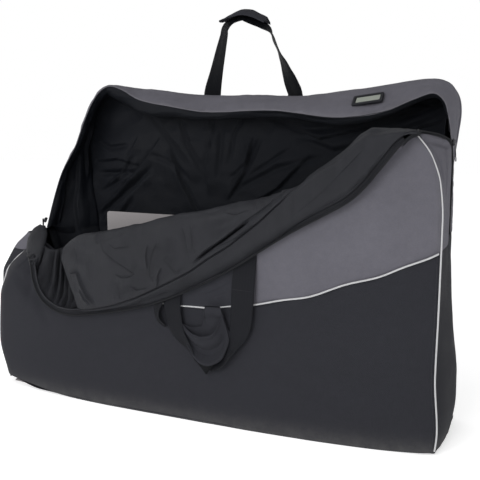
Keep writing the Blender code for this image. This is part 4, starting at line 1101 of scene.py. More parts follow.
P[..., 0] = np.minimum(P[..., 0], np.where(P[..., 1] > -0.150, 0.580, 0.584))
flap_lining = cloth("flap_lining_cloth", P, LINING, (0, -1, 0.2), t=0.0012, lift=h, turn=True)
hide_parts("flap_lining", "flap_gusset_lining", "flap_padding")
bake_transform(flap_lining)

# outer fabric of the flap: turns tightly over the fold line, then lies against the standing front
xt = mix(-0.372, 0.532, u1[::3])
xl = mix(-0.296, 0.532, u1[::3])
zt = np.minimum(crest(xt), fold_z(xt)) - 0.010
rows = [
    np.stack([xt, np.full_like(xt, -0.1475), zt - 0.020], -1),
    np.stack([xt, np.full_like(xt, -0.1535), zt - 0.004], -1),
    np.stack([xt, np.full_like(xt, -0.1590), zt + 0.0015], -1),
    np.stack([xt, np.full_like(xt, -0.1650), zt - 0.006], -1),
]
for f in (0.12, 0.35, 0.62, 0.85, 1.0):
    xx = mix(xt, xl, f)
    zz = mix(zt - 0.004, zip_edge(xx) + 0.004, f)
    rows.append(np.stack([xx, y_hidden(xx, zz) - 0.0016, zz], -1))
P = np.swapaxes(spline(np.array(rows), [0, 0.09, 0.12, 0.16, 0.26, 0.46, 0.68, 0.87, 1.0])(np.linspace(0, 1, 80)), 0, 1)
flap_out = cloth("flap_outer_cloth", P, GREY, (0, 1, 0.05), t=0.0014)
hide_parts("flap_panel", "flap_gusset")
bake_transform(flap_out)
# the grey cloth below the fold, which shows when the flap is up
u, v = np.meshgrid(np.linspace(-0.385, 0.545, 160), np.linspace(0, 1, 14), indexing="ij")
ze = np.minimum(crest(u), fold_z(u)) - 0.013
z = mix(np.minimum(front_top(u) - 0.020, ze - 0.020), ze, v)
y = mix(yf(u, z) - 0.0006, np.full_like(z, -0.1500), smooth(0.55, 1.0, v))
o = cloth("front_edge_cloth", np.stack([u, y, z], -1), GREY, (0, -1, 0), t=0.0012)
piece(o, "bag", "grey_fabric")

# ---------------------------------------------------------------- zip round the opening's front edge: tape and coil
RIM = [(-0.520, -0.152, 0.412), (-0.508, -0.160, 0.388), (-0.500, -0.166, 0.362), (-0.494, -0.169, 0.336), (-0.480, -0.171, 0.303), (-0.454, -0.173, 0.275), (-0.413, -0.1755, 0.2555)]
xs = np.linspace(-0.37, 0.560, 60)
rim_pts = RIM + [(a, float(y_hidden(a, zip_edge(a)) - 0.0085), float(zip_edge(a))) for a in xs]
rim_line = spline(rim_pts)
p = even(rim_line(np.linspace(0, 1, 900)), 0.004)
t = np.gradient(p, axis=0)
t = t / np.linalg.norm(t, axis=1, keepdims=True)
inward = np.cross(np.array([0, -1.0, 0]), t)
inward = -inward if inward[len(p) // 2, 2] < 0 else inward
inward = inward / np.linalg.norm(inward, axis=1, keepdims=True)
v = np.linspace(0, 1, 12)
P = p[:, None, :] + inward[:, None, :] * (0.0025 + 0.0125 * v)[None, :, None]
hidden = smooth(-0.36, -0.30, p[:, 0]) * (1 - smooth(0.24, 0.34, p[:, 0]))
P[..., 1] += 0.0011 * np.sin(math.pi * v)[None, :] + 0.0045 * hidden[:, None]
lift = 0.0009 * np.cos(2 * math.pi * v * 2)[None, :] + 0.0012 * noise(P, (16, 16, 16), 81)
tape = cloth("zip_tape_front_cloth", P, TAPE, (0, -1, 0), t=0.0012, lift=lift)
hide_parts("zip_tape_front")
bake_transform(tape)
c = p + np.array([0, -0.0012, 0]) + 0.0008 * noise(p, 20, 83)[:, None] * np.array([0, 1, 0])
coil = tube("zip_coil_front_teeth", even(c, 0.0006), 0.0022, COIL, 6, ripple=(0.0024, 0.22))
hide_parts("zip_coil_front")
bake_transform(coil)
# folded edge of the lining beside the tape
c = p + inward * 0.0160 + np.array([0, -0.0022, 0])
pipe = tube("lining_edge_front", c[4:] + np.array([0, 1.0, 0]) * (0.004 * hidden[4:, None]), (0.0026 - 0.0016 * hidden[4:]), LINING, 8)
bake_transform(pipe)

# gathered lining between the turned-out gusset and the flap
apex = spline([(-0.484, -0.154, 0.428), (-0.464, -0.152, 0.433), (-0.432, -0.148, 0.424), (-0.402, -0.146, 0.432), (-0.372, -0.149, 0.438), (-0.340, -0.151, 0.447)])
base_l = spline([(-0.500, -0.160, 0.395), (-0.488, -0.166, 0.350), (-0.474, -0.168, 0.314), (-0.447, -0.170, 0.286), (-0.404, -0.172, 0.268), (-0.368, -0.170, 0.264), (-0.330, -0.160, 0.282), (-0.295, -0.156, 0.300)])
sU = np.linspace(0, 1, 320)
rV = np.linspace(0, 1, 80)
A, Bq = apex(sU), base_l(sU)
P = A[:, None, :] + (Bq - A)[:, None, :] * rV[None, :, None]
bag = np.sin(math.pi * rV) ** 0.9
P[..., 1] += (0.003 + 0.015 * np.exp(-(((sU - 0.62) / 0.14) ** 2)))[:, None] * bag[None, :]
ph = sU[:, None] * 9.5 + 0.50 * np.sin(sU[:, None] * 11.0) + 0.30 * rV[None, :] * np.sin(7 * sU)[:, None] + 0.45 * noise(P, (10, 4, 13), 90)
pleat = (1 - np.abs(np.sin(math.pi * ph))) ** 1.0
shown = (1 - smooth(0.74, 0.86, sU))[:, None]
h = 0.0045 * shown - 0.0170 * shown * pleat * (np.sin(math.pi * np.clip(rV * 0.94 + 0.04, 0, 1)) ** 0.6)[None, :]
h = h + shown * (0.0060 * crumple(P, (22, 10, 15), 91) + 0.0030 * crumple(P, (45, 10, 45), 92) * smooth(0.55, 0.85, rV)[None, :] * (1 - smooth(0.93, 1.0, rV))[None, :])
# the gathers use a darker copy of the lining: painted shade in the recessed pleats
GATHER_SHADED = fabric("gathered_cloth_painted_shade", (0.0096, 0.0101, 0.0132), pitch=0.0005, weave=0.22, rough=0.56, spec=0.20, mottle=0.26, crinkle=1.9, worn=0.2, depth=0.0010)
gather = cloth("left_gathers", P, GATHER_SHADED, (0, -1, 0), t=0.001, lift=h, turn=True)
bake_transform(gather)

# the gusset's front half, turned inside out into a padded lobe
uu, vv = np.meshgrid(np.linspace(0, 1, 60), np.linspace(0, 1, 90), indexing="ij")
mid = spline([(-0.502, -0.154, 0.366), (-0.501, -0.152, 0.386), (-0.4985, -0.150, 0.412), (-0.492, -0.150, 0.438), (-0.4835, -0.149, 0.461), (-0.476, -0.147, 0.480), (-0.471, -0.145, 0.492)])
m3 = mid(vv)
half = prof([(0.0, 0.008), (0.12, 0.018), (0.35, 0.027), (0.62, 0.030), (0.86, 0.024), (1.0, 0.009)])(vv)
ang = (uu - 0.5) * 2
P = m3.copy()
P[..., 0] += ang * half
P[..., 2] += -0.18 * ang * half
P[..., 1] -= 0.022 * np.sqrt(np.clip(1 - ang**2, 0, 1)) * (half / 0.035)
lines = [
    ([(-0.530, 0.392), (-0.510, 0.396), (-0.490, 0.404)], 0.006, 0.005, 0.003, 0.003, 0.012, 0, 0),
    ([(-0.535, 0.408), (-0.517, 0.408), (-0.498, 0.412)], 0.004, 0.004, 0.003, 0.002, 0.010, 0, 1),
    ([(-0.525, 0.380), (-0.512, 0.384), (-0.500, 0.388)], 0.005, 0.004, 0.003, 0.003, 0.010, 0, 0),
]
h = folds(P[..., 0], P[..., 2], lines) + 0.0018 * crumple(P, (20, 10, 18), 95)
h = h * (1 - np.abs(ang) ** 6)
ear = cloth("left_end_turned_out", P, TURNED, (0, -1, 0), t=0.002, lift=h)
piece(ear, "bag", "lining", "left_gusset_turned_out")

# the last of the front half's zip tape, along its top edge to the right slider
yy = np.array([-0.118, -0.089, -0.063, -0.039, -0.011])
zz = top_front(yy)
end = np.stack([right_wall(yy, zz) + 0.0034, yy, zz + 0.0062], -1)
a3 = spline([(0.556, float(y_hidden(0.556, 0.738)) - 0.0080, float(zip_edge(0.556)) + 0.002), (0.568, -0.160, 0.7560), (0.582, -0.146, 0.7640)] + [tuple(e) for e in end])
s = np.linspace(0, 1, 130)
v = np.linspace(0, 1, 10)
A = a3(s)
wide = (0.0110 - 0.0035 * smooth(0.30, 0.8, s))[:, None, None]
P = A[:, None, :] + np.array([-0.16, 0.16, -0.97])[None, None, :] * wide * v[None, :, None]
o = cloth("zip_end_right", P, TAPE, (0.4, -1, 0.6), t=0.0012, lift=0.0006 * crumple(P, (40, 40, 40), 97))
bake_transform(o)
o = tube("zip_end_right_teeth", even(A[3:], 0.0006), 0.0021, COIL, 6, ripple=(0.0024, 0.22))
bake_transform(o)

# ---------------------------------------------------------------- zip along the rear half's free edge
s = np.linspace(KNOT[0] + 0.008, KNOT[18] - 0.004, 420)
F = free_line(s)
R = rear_line(s)
ac = (F - R) / np.linalg.norm(F - R, axis=1, keepdims=True)
v = np.linspace(0, 1, 8)
endness = (1 - smooth(KNOT[5], KNOT[7], s) * (1 - smooth(KNOT[15], KNOT[18], s)))[:, None]
inwards = np.where(np.arange(len(s))[:, None] < len(s) // 2, np.array([[0.9, 0.0, -0.3]]), np.array([[-0.9, 0.0, -0.1]]))
down_in = mix(np.array([[0.0, 0.0, -1.0]]), inwards, endness)
tdir = ac * -0.84 + down_in * 0.54
tdir = tdir / np.linalg.norm(tdir, axis=1, keepdims=True)
P = F[:, None, :] + tdir[:, None, :] * (0.0002 + 0.0105 * v)[None, :, None] - ac[:, None, :] * 0.0008
sel_top = (s > KNOT[6]) & (s < KNOT[16])
sb = np.linspace(0.004, 0.996, 460)
piece(tube("seam_rear_top", rear_line(sb) + np.array([0, 0.0004, -0.0052]), 0.0046, GREY, 10), "bag", "grey_fabric")
tape_r = cloth("zip_tape_rear_cloth", P, TAPE, (0, 0, 1), t=0.0012, lift=0.0008 * crumple(P, (20, 20, 20), 101))
piece(tape_r, "bag", "zip_tape", "zip_tape_rear")
cr = even(F + tdir * 0.0118 - ac * 0.0010, 0.0006)
k = int(len(cr) * 0.14)
piece(tube("zip_coil_left_teeth", cr[: k + 1], 0.0019, COIL, 6, ripple=(0.0024, 0.22)), "bag", "zip_coil", "zip_coil_left")
piece(tube("zip_coil_rear_teeth", cr[k:], 0.0019, COIL, 6, ripple=(0.0024, 0.22)), "bag", "zip_coil", "zip_coil_rear")
q = F + ac * -0.008 + np.array([0, 0, 0.0012])
piece(stitches("stitch_rear_edge", q, (0, -0.2, 1), THREAD_GREY), "bag", "grey_fabric")
# closed zip on the right end
zz = np.linspace(0.512, 0.742, 60)
P = np.stack([np.broadcast_to((right_wall(0.0 * zz, np.minimum(zz, 0.735)) - 0.0012)[:, None], (60, 8)), np.broadcast_to(np.linspace(-0.0085, 0.0085, 8)[None, :], (60, 8)), np.broadcast_to(zz[:, None], (60, 8))], -1).copy()
piece(cloth("zip_tape_right_cloth", P, TAPE, (1, 0, 0), t=0.0010), "bag", "zip_tape", "zip_tape_right")
zt2 = np.arange(0.514, 0.735, 0.0006)
piece(tube("zip_coil_right_teeth", np.stack([right_wall(0.0 * zt2, zt2) + 0.0002, 0 * zt2, zt2], -1), 0.0026, COIL, 6, ripple=(0.0024, 0.22), flat=1.3), "bag", "zip_coil", "zip_coil_right")

# ---------------------------------------------------------------- sliders and pulls
def slider(name, centre, body, along, out, node):
    """A zip slider: rounded shell, narrower at one end, with a raised bridge."""
    along, out = np.array(along, float), np.array(out, float)
    along /= np.linalg.norm(along)
    out = out - (out @ along) * along
    out /= np.linalg.norm(out)
    side = np.cross(along, out)
    c = np.array(centre, float)
    nu, nv = 16, 20
    rows = []
    for i in range(nu + 1):
        s = i / nu * 2 - 1
        half_w = 0.0058 * (0.80 + 0.20 * s) * math.sqrt(max(0.02, 1 - s**6))
        half_t = 0.0030 * math.sqrt(max(0.02, 1 - s**6))
        row = []
        for j in range(nv):
            a = 2 * math.pi * j / nv
            ca, sa = math.cos(a), math.sin(a)
            row.append(c + along * 0.0088 * s + side * half_w * math.copysign(abs(ca) ** 0.5, ca) + out * half_t * math.copysign(abs(sa) ** 0.5, sa))
        rows.append(row)
    verts = [v for r in rows for v in r]
    faces = []
    for i in range(nu):
        for j in range(nv):
            faces.append((i * nv + j, i * nv + (j + 1) % nv, (i + 1) * nv + (j + 1) % nv, (i + 1) * nv + j))
    e0, e1 = len(verts), len(verts) + 1
    verts += [c - along * 0.0088, c + along * 0.0088]
    for j in range(nv):
        q = (j + 1) % nv
        faces.append((e0, q, j))
        faces.append((e1, nu * nv + j, nu * nv + q))
    o = build(name, verts, faces, [(v[0], v[2]) for v in verts], DARK_METAL)
    piece(o, body, "zip_metal", node)
    loop = [c + along * 0.0055 * math.cos(a) + out * (0.0028 + 0.0024 * math.sin(a)) for a in np.linspace(0, math.pi, 14)]
    lo = tube(name + "_bridge", loop, 0.0009, DARK_METAL, 8)
    piece(lo, body, "zip_metal")
    return o


def ring_path(centre, along, side, half, width, n=40):
    """A narrow stadium loop."""
    out = []
    for k in range(n):
        a = 2 * math.pi * k / n
        out.append(np.array(centre) + np.array(along) * half * math.copysign(abs(math.cos(a)) ** 0.7, math.cos(a)) + np.array(side) * width * math.sin(a))
    out.append(out[0])
    return np.array(out)


def plate(name, centre, along, side, out, half, width, thick, material, body, slot_name, nodes=()):
    """A small flat metal tag with round ends and soft edges."""
    nv = 28
    rows = []
    for s, k in ((-1.0, 0.86), (-0.6, 1.0), (0.6, 1.0), (1.0, 0.86)):
        row = []
        for j in range(nv):
            a = 2 * math.pi * j / nv
            row.append(np.array(centre) + np.array(along) * half * k * math.copysign(abs(math.cos(a)) ** 0.6, math.cos(a)) + np.array(side) * width * k * math.copysign(abs(math.sin(a)) ** 0.6, math.sin(a)) + np.array(out) * thick * s / 2)
        rows.append(row)
    verts = [v for r in rows for v in r]
    faces = [(i * nv + j, i * nv + (j + 1) % nv, (i + 1) * nv + (j + 1) % nv, (i + 1) * nv + j) for i in range(3) for j in range(nv)]
    verts += [np.array(centre) - np.array(out) * thick / 2, np.array(centre) + np.array(out) * thick / 2]
    for j in range(nv):
        q = (j + 1) % nv
        faces.append((4 * nv, q, j))
        faces.append((4 * nv + 1, 3 * nv + j, 3 * nv + q))
    o = build(name, verts, faces, [(v[1], v[2]) for v in verts], material)
    piece(o, body, slot_name, *nodes)
    return o


slider("slider_right", (0.6345, 0.0, 0.736), "right_slider", (0, 0, 1), (1, 0, 0.0), "zip_slider_right")
plate("pull_right_tag", (0.6395, 0.0, 0.7265), (0, 0, 1), (0, 1, 0), (1, 0, 0), 0.0115, 0.0036, 0.0014, DARK_METAL, "right_pull", "zip_metal", ("zip_pull_right",))
lp = even([(0.6395, 0.0018, 0.7175), (0.6405, 0.0022, 0.708), (0.6413, 0.0006, 0.6975), (0.6413, -0.0006, 0.6975), (0.6405, -0.0022, 0.708), (0.6395, -0.0018, 0.7175)], 0.0008)
piece(tube("pull_right_cord", lp, 0.0011, THREAD, 8), "right_pull", "zip_metal")
tip = even([(0.6413, 0, 0.7005), (0.6416, 0, 0.6905)], 0.0009)
tr = 0.0024 * np.sqrt(np.clip(1 - np.linspace(-0.92, 0.92, len(tip)) ** 4, 0.1, 1))
piece(tube("pull_right_tip", tip, tr, METAL, 12), "right_pull", "zip_metal")
slider("slider_left", (-0.5705, -0.006, 0.484), "left_slider", (0.353, 0, 0.936), (-0.936, 0, 0.353), "zip_slider_left")
plate("pull_left_tag", (-0.5800, -0.006, 0.4775), (0, 0, 1), (0, 1, 0), (1, 0, 0), 0.0110, 0.0034, 0.0014, DARK_METAL, "left_pull", "zip_metal", ("zip_pull_left",))
lp = even([(-0.5800, -0.0042, 0.4690), (-0.5805, -0.0038, 0.461), (-0.5807, -0.0056, 0.4505), (-0.5807, -0.0064, 0.4505), (-0.5805, -0.0082, 0.461), (-0.5800, -0.0078, 0.4690)], 0.0008)
piece(tube("pull_left_cord", lp, 0.0011, THREAD, 8), "left_pull", "zip_metal")

# ---------------------------------------------------------------- address window
L0 = np.array([0.4103, 0.0460, 0.8393])
LX, LY, LN = np.array([0.9908, 0.0, 0.1355]), np.array([-0.0758, 0.8288, 0.5544]), np.array([-0.1123, -0.5595, 0.8212])


def rounded_rect(w, h, r, n=10):
    pts = []
    for cx, cy, a0 in ((w / 2 - r, h / 2 - r, 0), (-w / 2 + r, h / 2 - r, 90), (-w / 2 + r, -h / 2 + r, 180), (w / 2 - r, -h / 2 + r, 270)):
        for k in range(n):
            a = math.radians(a0 + 90 * k / (n - 1))
            pts.append((cx + r * math.cos(a), cy + r * math.sin(a)))
    return np.array(pts)


outer, inner = rounded_rect(0.080, 0.042, 0.005), rounded_rect(0.064, 0.0255, 0.003)
rows = [(outer * 0.995, -0.0022), (outer, 0.0000), (outer * 0.985, 0.0022), (mix(outer, inner, 0.5), 0.0026), (inner * 1.012, 0.0022), (inner, 0.0014), (inner * 1.004, -0.0022)]
verts, faces = [], []
n = len(outer)
for ring, lift in rows:
    verts += [L0 + LX * a + LY * b + LN * lift for a, b in ring]
m = len(rows)
for i in range(m):
    for j in range(n):
        faces.append((i * n + j, i * n + (j + 1) % n, ((i + 1) % m) * n + (j + 1) % n, ((i + 1) % m) * n + j))
lf = build("address_window_frame", verts, faces, [((v - L0) @ LX, (v - L0) @ LY) for v in verts], TAPE)
piece(lf, "bag", "webbing", "label_frame")
ring = mix(outer, inner, 0.3)
q = np.array([L0 + LX * a + LY * b + LN * 0.0026 for a, b in np.concatenate([ring, ring[:1]])])
piece(stitches("stitch_window", q, LN, THREAD_GREY, pitch=0.003), "bag", "webbing")
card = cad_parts["address_card"]
card.data.materials.clear()
card.data.materials.append(CARD_M)

# ---------------------------------------------------------------- the pale board standing inside
def board(name, x0, x1, y0, z0, z1, node):
    """Board with round corners and soft edges, very slightly bowed."""
    cx, cz, w, hgt, r = (x0 + x1) / 2, (z0 + z1) / 2, x1 - x0, z1 - z0, 0.008
    ring = rounded_rect(w, hgt, r, 8)
    seg = []
    for a, b in zip(ring, np.roll(ring, -1, axis=0)):
        k = max(1, int(np.linalg.norm(b - a) / 0.03))
        for i in range(k):
            seg.append(mix(a, b, i / k))
    ring = np.array(seg)
    n = len(ring)
    verts, uvs = [], []
    for k, y in ((0.94, 0.0), (0.9985, 0.0), (1.0, 0.0008), (1.0, 0.0040), (0.9985, 0.0048), (0.94, 0.0048)):
        for a, b in ring * k:
            verts.append((cx + a, y0 + y + 0.002 * (a / (w / 2)) ** 2, cz + b))
            uvs.append((a, b))
    faces = [(i * n + j, i * n + (j + 1) % n, (i + 1) * n + (j + 1) % n, (i + 1) * n + j) for i in range(5) for j in range(n)]
    verts += [(cx, y0, cz), (cx, y0 + 0.0048, cz)]
    uvs += [(0, 0), (0, 0)]
    for j in range(n):
        q = (j + 1) % n
        faces.append((6 * n, q, j))
        faces.append((6 * n + 1, 5 * n + j, 5 * n + q))
    o = build(name, verts, faces, uvs, BOARD_M)
    for poly in o.data.polygons:
        poly.use_smooth = False
    return piece(o, "bag", "board", node)


board("board_inside", -0.312, -0.03, -0.060, 0.0125, 0.530, "divider_board")
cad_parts["base_board"].data.materials.clear()
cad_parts["base_board"].data.materials.append(BOARD_M)

# ---------------------------------------------------------------- carrying handles
# rear handle: two legs of one webbing, sewn down the outside of the rear panel
def rear_leg(name, rows, nodes, down):
    """rows: x and z of the middle, and how far the webbing is turned about its own length, in degrees."""
    x0, z0 = rows[0][:2]
    low = [(down[0], float(ry(down[0], down[1])) + 0.0040, down[1], 0.0), (mix(down[0], x0, 0.5), float(ry(down[0], 0.78)) + 0.0042, 0.78, 0.0), (x0, 0.1345, z0 - 0.034, 0.0)]
    r = np.array([q + (0.0495,) for q in low] + [(a, 0.1315, b, c, w) for a, b, c, w in rows])
    path = spline(r[:, :3])
    kn = np.concatenate([[0.0], np.cumsum(np.linalg.norm(np.diff(r[:, :3], axis=0), axis=1))])
    t = np.linspace(0, 1, 150)
    c = path(t)
    a = np.radians(prof(list(zip(kn / kn[-1], r[:, 3])))(t))
    w = prof(list(zip(kn / kn[-1], r[:, 4])))(t)
    d = np.gradient(c, axis=0)
    d = d / np.linalg.norm(d, axis=1, keepdims=True)
    flat = np.cross(np.array([0, 1.0, 0]), d)
    flat = flat / np.linalg.norm(flat, axis=1, keepdims=True)
    side = flat * np.cos(a)[:, None] - np.array([0, 1.0, 0]) * np.sin(a)[:, None]
    # the legs use the darkened webbing, as painted shade on the handle's underside
    o = strap(name, c, side, (0, -1, 0), w, 0.0024, WEB_SHADED)
    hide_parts(*nodes)
    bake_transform(o)
    return c, side


rear_leg("rear_handle_left", [(-0.0708, 0.859, 4, 0.0535), (-0.0590, 0.916, 20, 0.0520), (-0.0440, 0.981, 32, 0.0510), (-0.0345, 1.020, 40, 0.0510), (-0.0305, 1.040, 43, 0.0500), (-0.008, 1.0610, 44, 0.0360), (0.025, 1.0700, 42, 0.0300), (0.036, 1.0690, 42, 0.0300)],
         ("rear_handle_leg_left", "rear_handle_anchor_left"), (-0.070, 0.700))
rear_leg("rear_handle_right", [(0.1810, 0.859, 20, 0.0495), (0.1762, 0.870, 22, 0.0495), (0.1662, 0.892, 27, 0.0495), (0.1563, 0.914, 39, 0.0495), (0.1476, 0.9355, 49, 0.0495), (0.1369, 0.957, 61, 0.0495), (0.1282, 0.979, 67, 0.0495), (0.1179, 1.001, 64, 0.0495), (0.1130, 1.012, 65, 0.0490), (0.1055, 1.023, 84, 0.0460), (0.0956, 1.034, 106, 0.0420), (0.0820, 1.0435, 118, 0.0370), (0.0585, 1.0540, 126, 0.0340), (0.037, 1.0650, 134, 0.0330)],
         ("rear_handle_leg_right", "rear_handle_anchor_right"), (0.188, 0.700))


def box_stitch(name, x0, x1, z0, z1, ysurf, body):
    """A sewn square with its cross, as on every strap end."""
    path = [(x0, z0), (x1, z0), (x1, z1), (x0, z1), (x0, z0), (x1, z1)]
    pts = []
    for (a, b), (c, d) in zip(path, path[1:]):
        for k in range(20):
            pts.append((mix(a, c, k / 20), ysurf, mix(b, d, k / 20)))
    pts.append((path[-1][0], ysurf, path[-1][1]))
    o = stitches(name, pts, (0, 1 if ysurf > 0 else -1, 0), THREAD, r=0.0005)
    return piece(o, body, "webbing")


box_stitch("stitch_rear_anchor_left", -0.090, -0.050, 0.706, 0.746, float(ry(-0.07, 0.70)) + 0.0058, "bag")
box_stitch("stitch_rear_anchor_right", 0.168, 0.208, 0.706, 0.746, float(ry(0.188, 0.70)) + 0.0058, "bag")


# the wrap over the two legs: a folded cloth with its ridge on top, open below, ending in a point at the left
ridge_l = spline([(-0.0450, 0.129, 1.0578), (-0.0148, 0.131, 1.0710), (0.0219, 0.131, 1.0880), (0.0512, 0.131, 1.0870), (0.0750, 0.131, 1.0765), (0.0940, 0.131, 1.0675), (0.0995, 0.131, 1.0640)])
front_l = spline([(-0.0400, 0.118, 1.0582), (-0.0090, 0.107, 1.0650), (0.0320, 0.103, 1.0710), (0.0620, 0.103, 1.0650), (0.0860, 0.104, 1.0545), (0.0950, 0.106, 1.0500), (0.0985, 0.107, 1.0485)])
rear_l = spline([(-0.0400, 0.140, 1.0580), (-0.0090, 0.155, 1.0640), (0.0320, 0.159, 1.0700), (0.0620, 0.159, 1.0640), (0.0860, 0.158, 1.0530), (0.0950, 0.156, 1.0485), (0.0985, 0.155, 1.0470)])
sU = np.linspace(0, 1, 110)
T_, F_, B_ = ridge_l(sU), front_l(sU), rear_l(sU)
lift_ = np.array([0, 0, 1.0]) * (0.0035 * np.sin(math.pi * np.clip(sU * 1.1, 0, 1)))[:, None]
rows = np.array([F_, mix(F_, T_, 0.30) + lift_ + [0, -0.004, 0], mix(F_, T_, 0.68) + lift_ + [0, -0.002, 0], T_, mix(B_, T_, 0.68) + lift_ + [0, 0.002, 0], mix(B_, T_, 0.30) + lift_ + [0, 0.004, 0], B_])
P = np.swapaxes(spline(rows, [0, 0.17, 0.36, 0.5, 0.64, 0.83, 1.0])(np.linspace(0, 1, 64)), 0, 1)
h = 0.0010 * crumple(P, (40, 40, 40), 111) + 0.0012 * np.exp(-((np.linspace(0, 1, 64) - 0.045) / 0.02) ** 2)[None, :]
wrap = cloth("rear_handle_wrap", P, BLACK, (0, 0, 1), t=0.0024, lift=h, turn=True)
piece(wrap, "rear_handle", "webbing", "rear_handle_grip")
q = mix(F_, T_, 0.14)[4:-4] + np.array([0, -0.0030, 0.0012])
piece(stitches("stitch_wrap_rear", q, (0, -0.8, 0.5), THREAD), "rear_handle", "webbing")

# front handle: hangs from the flap's outer cloth, over the standing front
def front_leg(name, rows, nodes):
    """rows: x, y, z of the middle, width, tilt in degrees."""
    r = np.array(rows, float)
    path = spline(r[:, :3])
    kn = np.concatenate([[0.0], np.cumsum(np.linalg.norm(np.diff(r[:, :3], axis=0), axis=1))])
    kn = kn / kn[-1]
    t = np.linspace(0, 1, 140)
    c = path(t)
    w = prof(list(zip(kn, r[:, 3])))(t)
    a = np.radians(prof(list(zip(kn, r[:, 4])))(t))
    d = np.gradient(c, axis=0)
    d = d / np.linalg.norm(d, axis=1, keepdims=True)
    flat = np.cross(d, np.array([0, -1.0, 0]))
    flat = flat / np.linalg.norm(flat, axis=1, keepdims=True)
    flat = np.where((flat[:, :1] < 0), -flat, flat)
    side = flat * np.cos(a)[:, None] + np.array([0, 1.0, 0]) * np.sin(a)[:, None]
    o = strap(name, c, side, (0, -1, 0), w, 0.0024, WEB)
    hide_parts(*nodes)
    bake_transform(o)
    return c, side, w


front_leg("front_handle_left", [(-0.036, -0.1675, 0.400, 0.049, 0), (-0.038, -0.1685, 0.350, 0.049, 0), (-0.038, -0.1760, 0.325, 0.048, 0), (-0.033, -0.1800, 0.280, 0.0470, 0), (-0.018, -0.1810, 0.239, 0.038, -6), (0.0133, -0.1815, 0.2016, 0.026, -34), (0.031, -0.1820, 0.1743, 0.019, -44), (0.052, -0.1825, 0.1560, 0.016, -36)],
          ("front_handle_leg_left", "front_handle_anchor_left"))
front_leg("front_handle_right", [(0.1660, -0.1650, 0.520, 0.060, 0), (0.1660, -0.1656, 0.460, 0.060, 0), (0.1655, -0.1710, 0.420, 0.060, 0), (0.1650, -0.1770, 0.376, 0.060, 0), (0.1626, -0.1800, 0.311, 0.058, 0), (0.160, -0.1805, 0.280, 0.0555, 0), (0.154, -0.1815, 0.2528, 0.047, 2), (0.1432, -0.1820, 0.2323, 0.034, -14), (0.135, -0.1820, 0.2155, 0.028, -26), (0.1243, -0.1825, 0.1981, 0.022, -36), (0.1151, -0.1825, 0.181, 0.020, -38), (0.100, -0.1825, 0.167, 0.018, -30), (0.076, -0.1820, 0.155, 0.015, -24)],
          ("front_handle_leg_right", "front_handle_anchor_right"))
# a sewn line across the right strap, and the loose twist beside the left one
q = np.stack([np.linspace(0.137, 0.193, 40), np.full(40, -0.1810), 0.3690 - 0.002 * np.linspace(0, 1, 40)], -1)
piece(stitches("stitch_strap_right", q, (0, -1, 0), THREAD_GREY, r=0.0004), "front_handle", "webbing")
tw = spline([(-0.066, -0.1755, 0.338), (-0.0745, -0.1778, 0.318), (-0.085, -0.1788, 0.290), (-0.079, -0.1795, 0.266), (-0.060, -0.1785, 0.252)])(np.linspace(0, 1, 60))
d = np.gradient(tw, axis=0)
d = d / np.linalg.norm(d, axis=1, keepdims=True)
flat = np.cross(d, np.array([0, -1.0, 0]))
a = np.radians(np.linspace(4, 50, 60))[:, None]
o = strap("front_handle_loop", tw, flat * np.cos(a) + np.array([0, 1.0, 0]) * np.sin(a), (0, -1, 0), np.full(60, 0.023), 0.0016, WEB)
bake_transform(o)

# the front handle's wrap, slid down and hanging open like a pouch between the legs: rear layer with its tab, front layer
# with a sagging hem, and the pointed end below
top_b = prof([(-0.006, 0.262), (0.020, 0.256), (0.046, 0.262), (0.059, 0.292), (0.0625, 0.3185), (0.1050, 0.3205), (0.113, 0.292), (0.124, 0.262), (0.134, 0.250)])
bot_b = prof([(-0.006, 0.245), (0.015, 0.200), (0.035, 0.178), (0.066, 0.166), (0.093, 0.172), (0.112, 0.190), (0.134, 0.235)])
uu, vv = np.meshgrid(np.linspace(0, 1, 90), np.linspace(0, 1, 50), indexing="ij")
xx = mix(-0.006, 0.134, uu)
zz = mix(top_b(xx), bot_b(xx), vv)
yy = -0.1765 - 0.0030 * np.sin(math.pi * uu) * np.sin(math.pi * vv) - 0.0088 * smooth(0.285, 0.306, zz)
P = np.stack([xx, yy, zz], -1)
h = 0.0012 * crumple(P, (26, 20, 26), 123)
o = cloth("front_handle_wrap_rear", P, BLACK, (0, -1, 0), t=0.0020, lift=h)
piece(o, "front_handle", "webbing")
# the tab's top edge, a cord in the darkened webbing: a dark line of painted shade along the edge
q = P[(xx[:, 0] > 0.0630) & (xx[:, 0] < 0.1045), 0] + np.array([0, -0.0012, 0.0004])
piece(tube("front_handle_tab_edge", q, 0.0013, WEB_SHADED, 8), "front_handle", "webbing")
hem = spline([(-0.006, -0.1800, 0.264), (0.014, -0.1880, 0.2520), (0.0346, -0.1935, 0.2443), (0.0618, -0.1950, 0.2419), (0.0889, -0.1915, 0.2528), (0.1030, -0.1860, 0.282), (0.1100, -0.1815, 0.300)])
bot = spline([(0.000, -0.1805, 0.230), (0.015, -0.1835, 0.200), (0.0346, -0.1865, 0.176), (0.0656, -0.1880, 0.1623), (0.0928, -0.1865, 0.1708), (0.114, -0.1835, 0.190), (0.130, -0.1805, 0.236)])
sU = np.linspace(0, 1, 110)
vV = np.linspace(0, 1, 70)
H_, B_ = hem(sU), bot(sU)
P = H_[:, None, :] + (B_ - H_)[:, None, :] * vV[None, :, None]
hang = np.sin(math.pi * sU)[:, None]
P[..., 1] += hang * (0.0150 * np.exp(-(((vV - 0.60) / 0.19) ** 2)) - 0.0050 * np.exp(-(((vV - 0.93) / 0.08) ** 2)) - 0.0030 * np.exp(-(((vV - 0.06) / 0.07) ** 2)))[None, :]
h = 0.0013 * crumple(P, (30, 20, 30), 121) + 0.0010 * np.exp(-((vV - 0.03) / 0.035) ** 2)[None, :]
wrap = cloth("front_handle_wrap", P, BLACK, (0, -1, 0), t=0.0022, lift=h)
piece(wrap, "front_handle", "webbing", "front_handle_grip")
q = P[3:-3, 7] + np.array([0, -0.0014, 0])
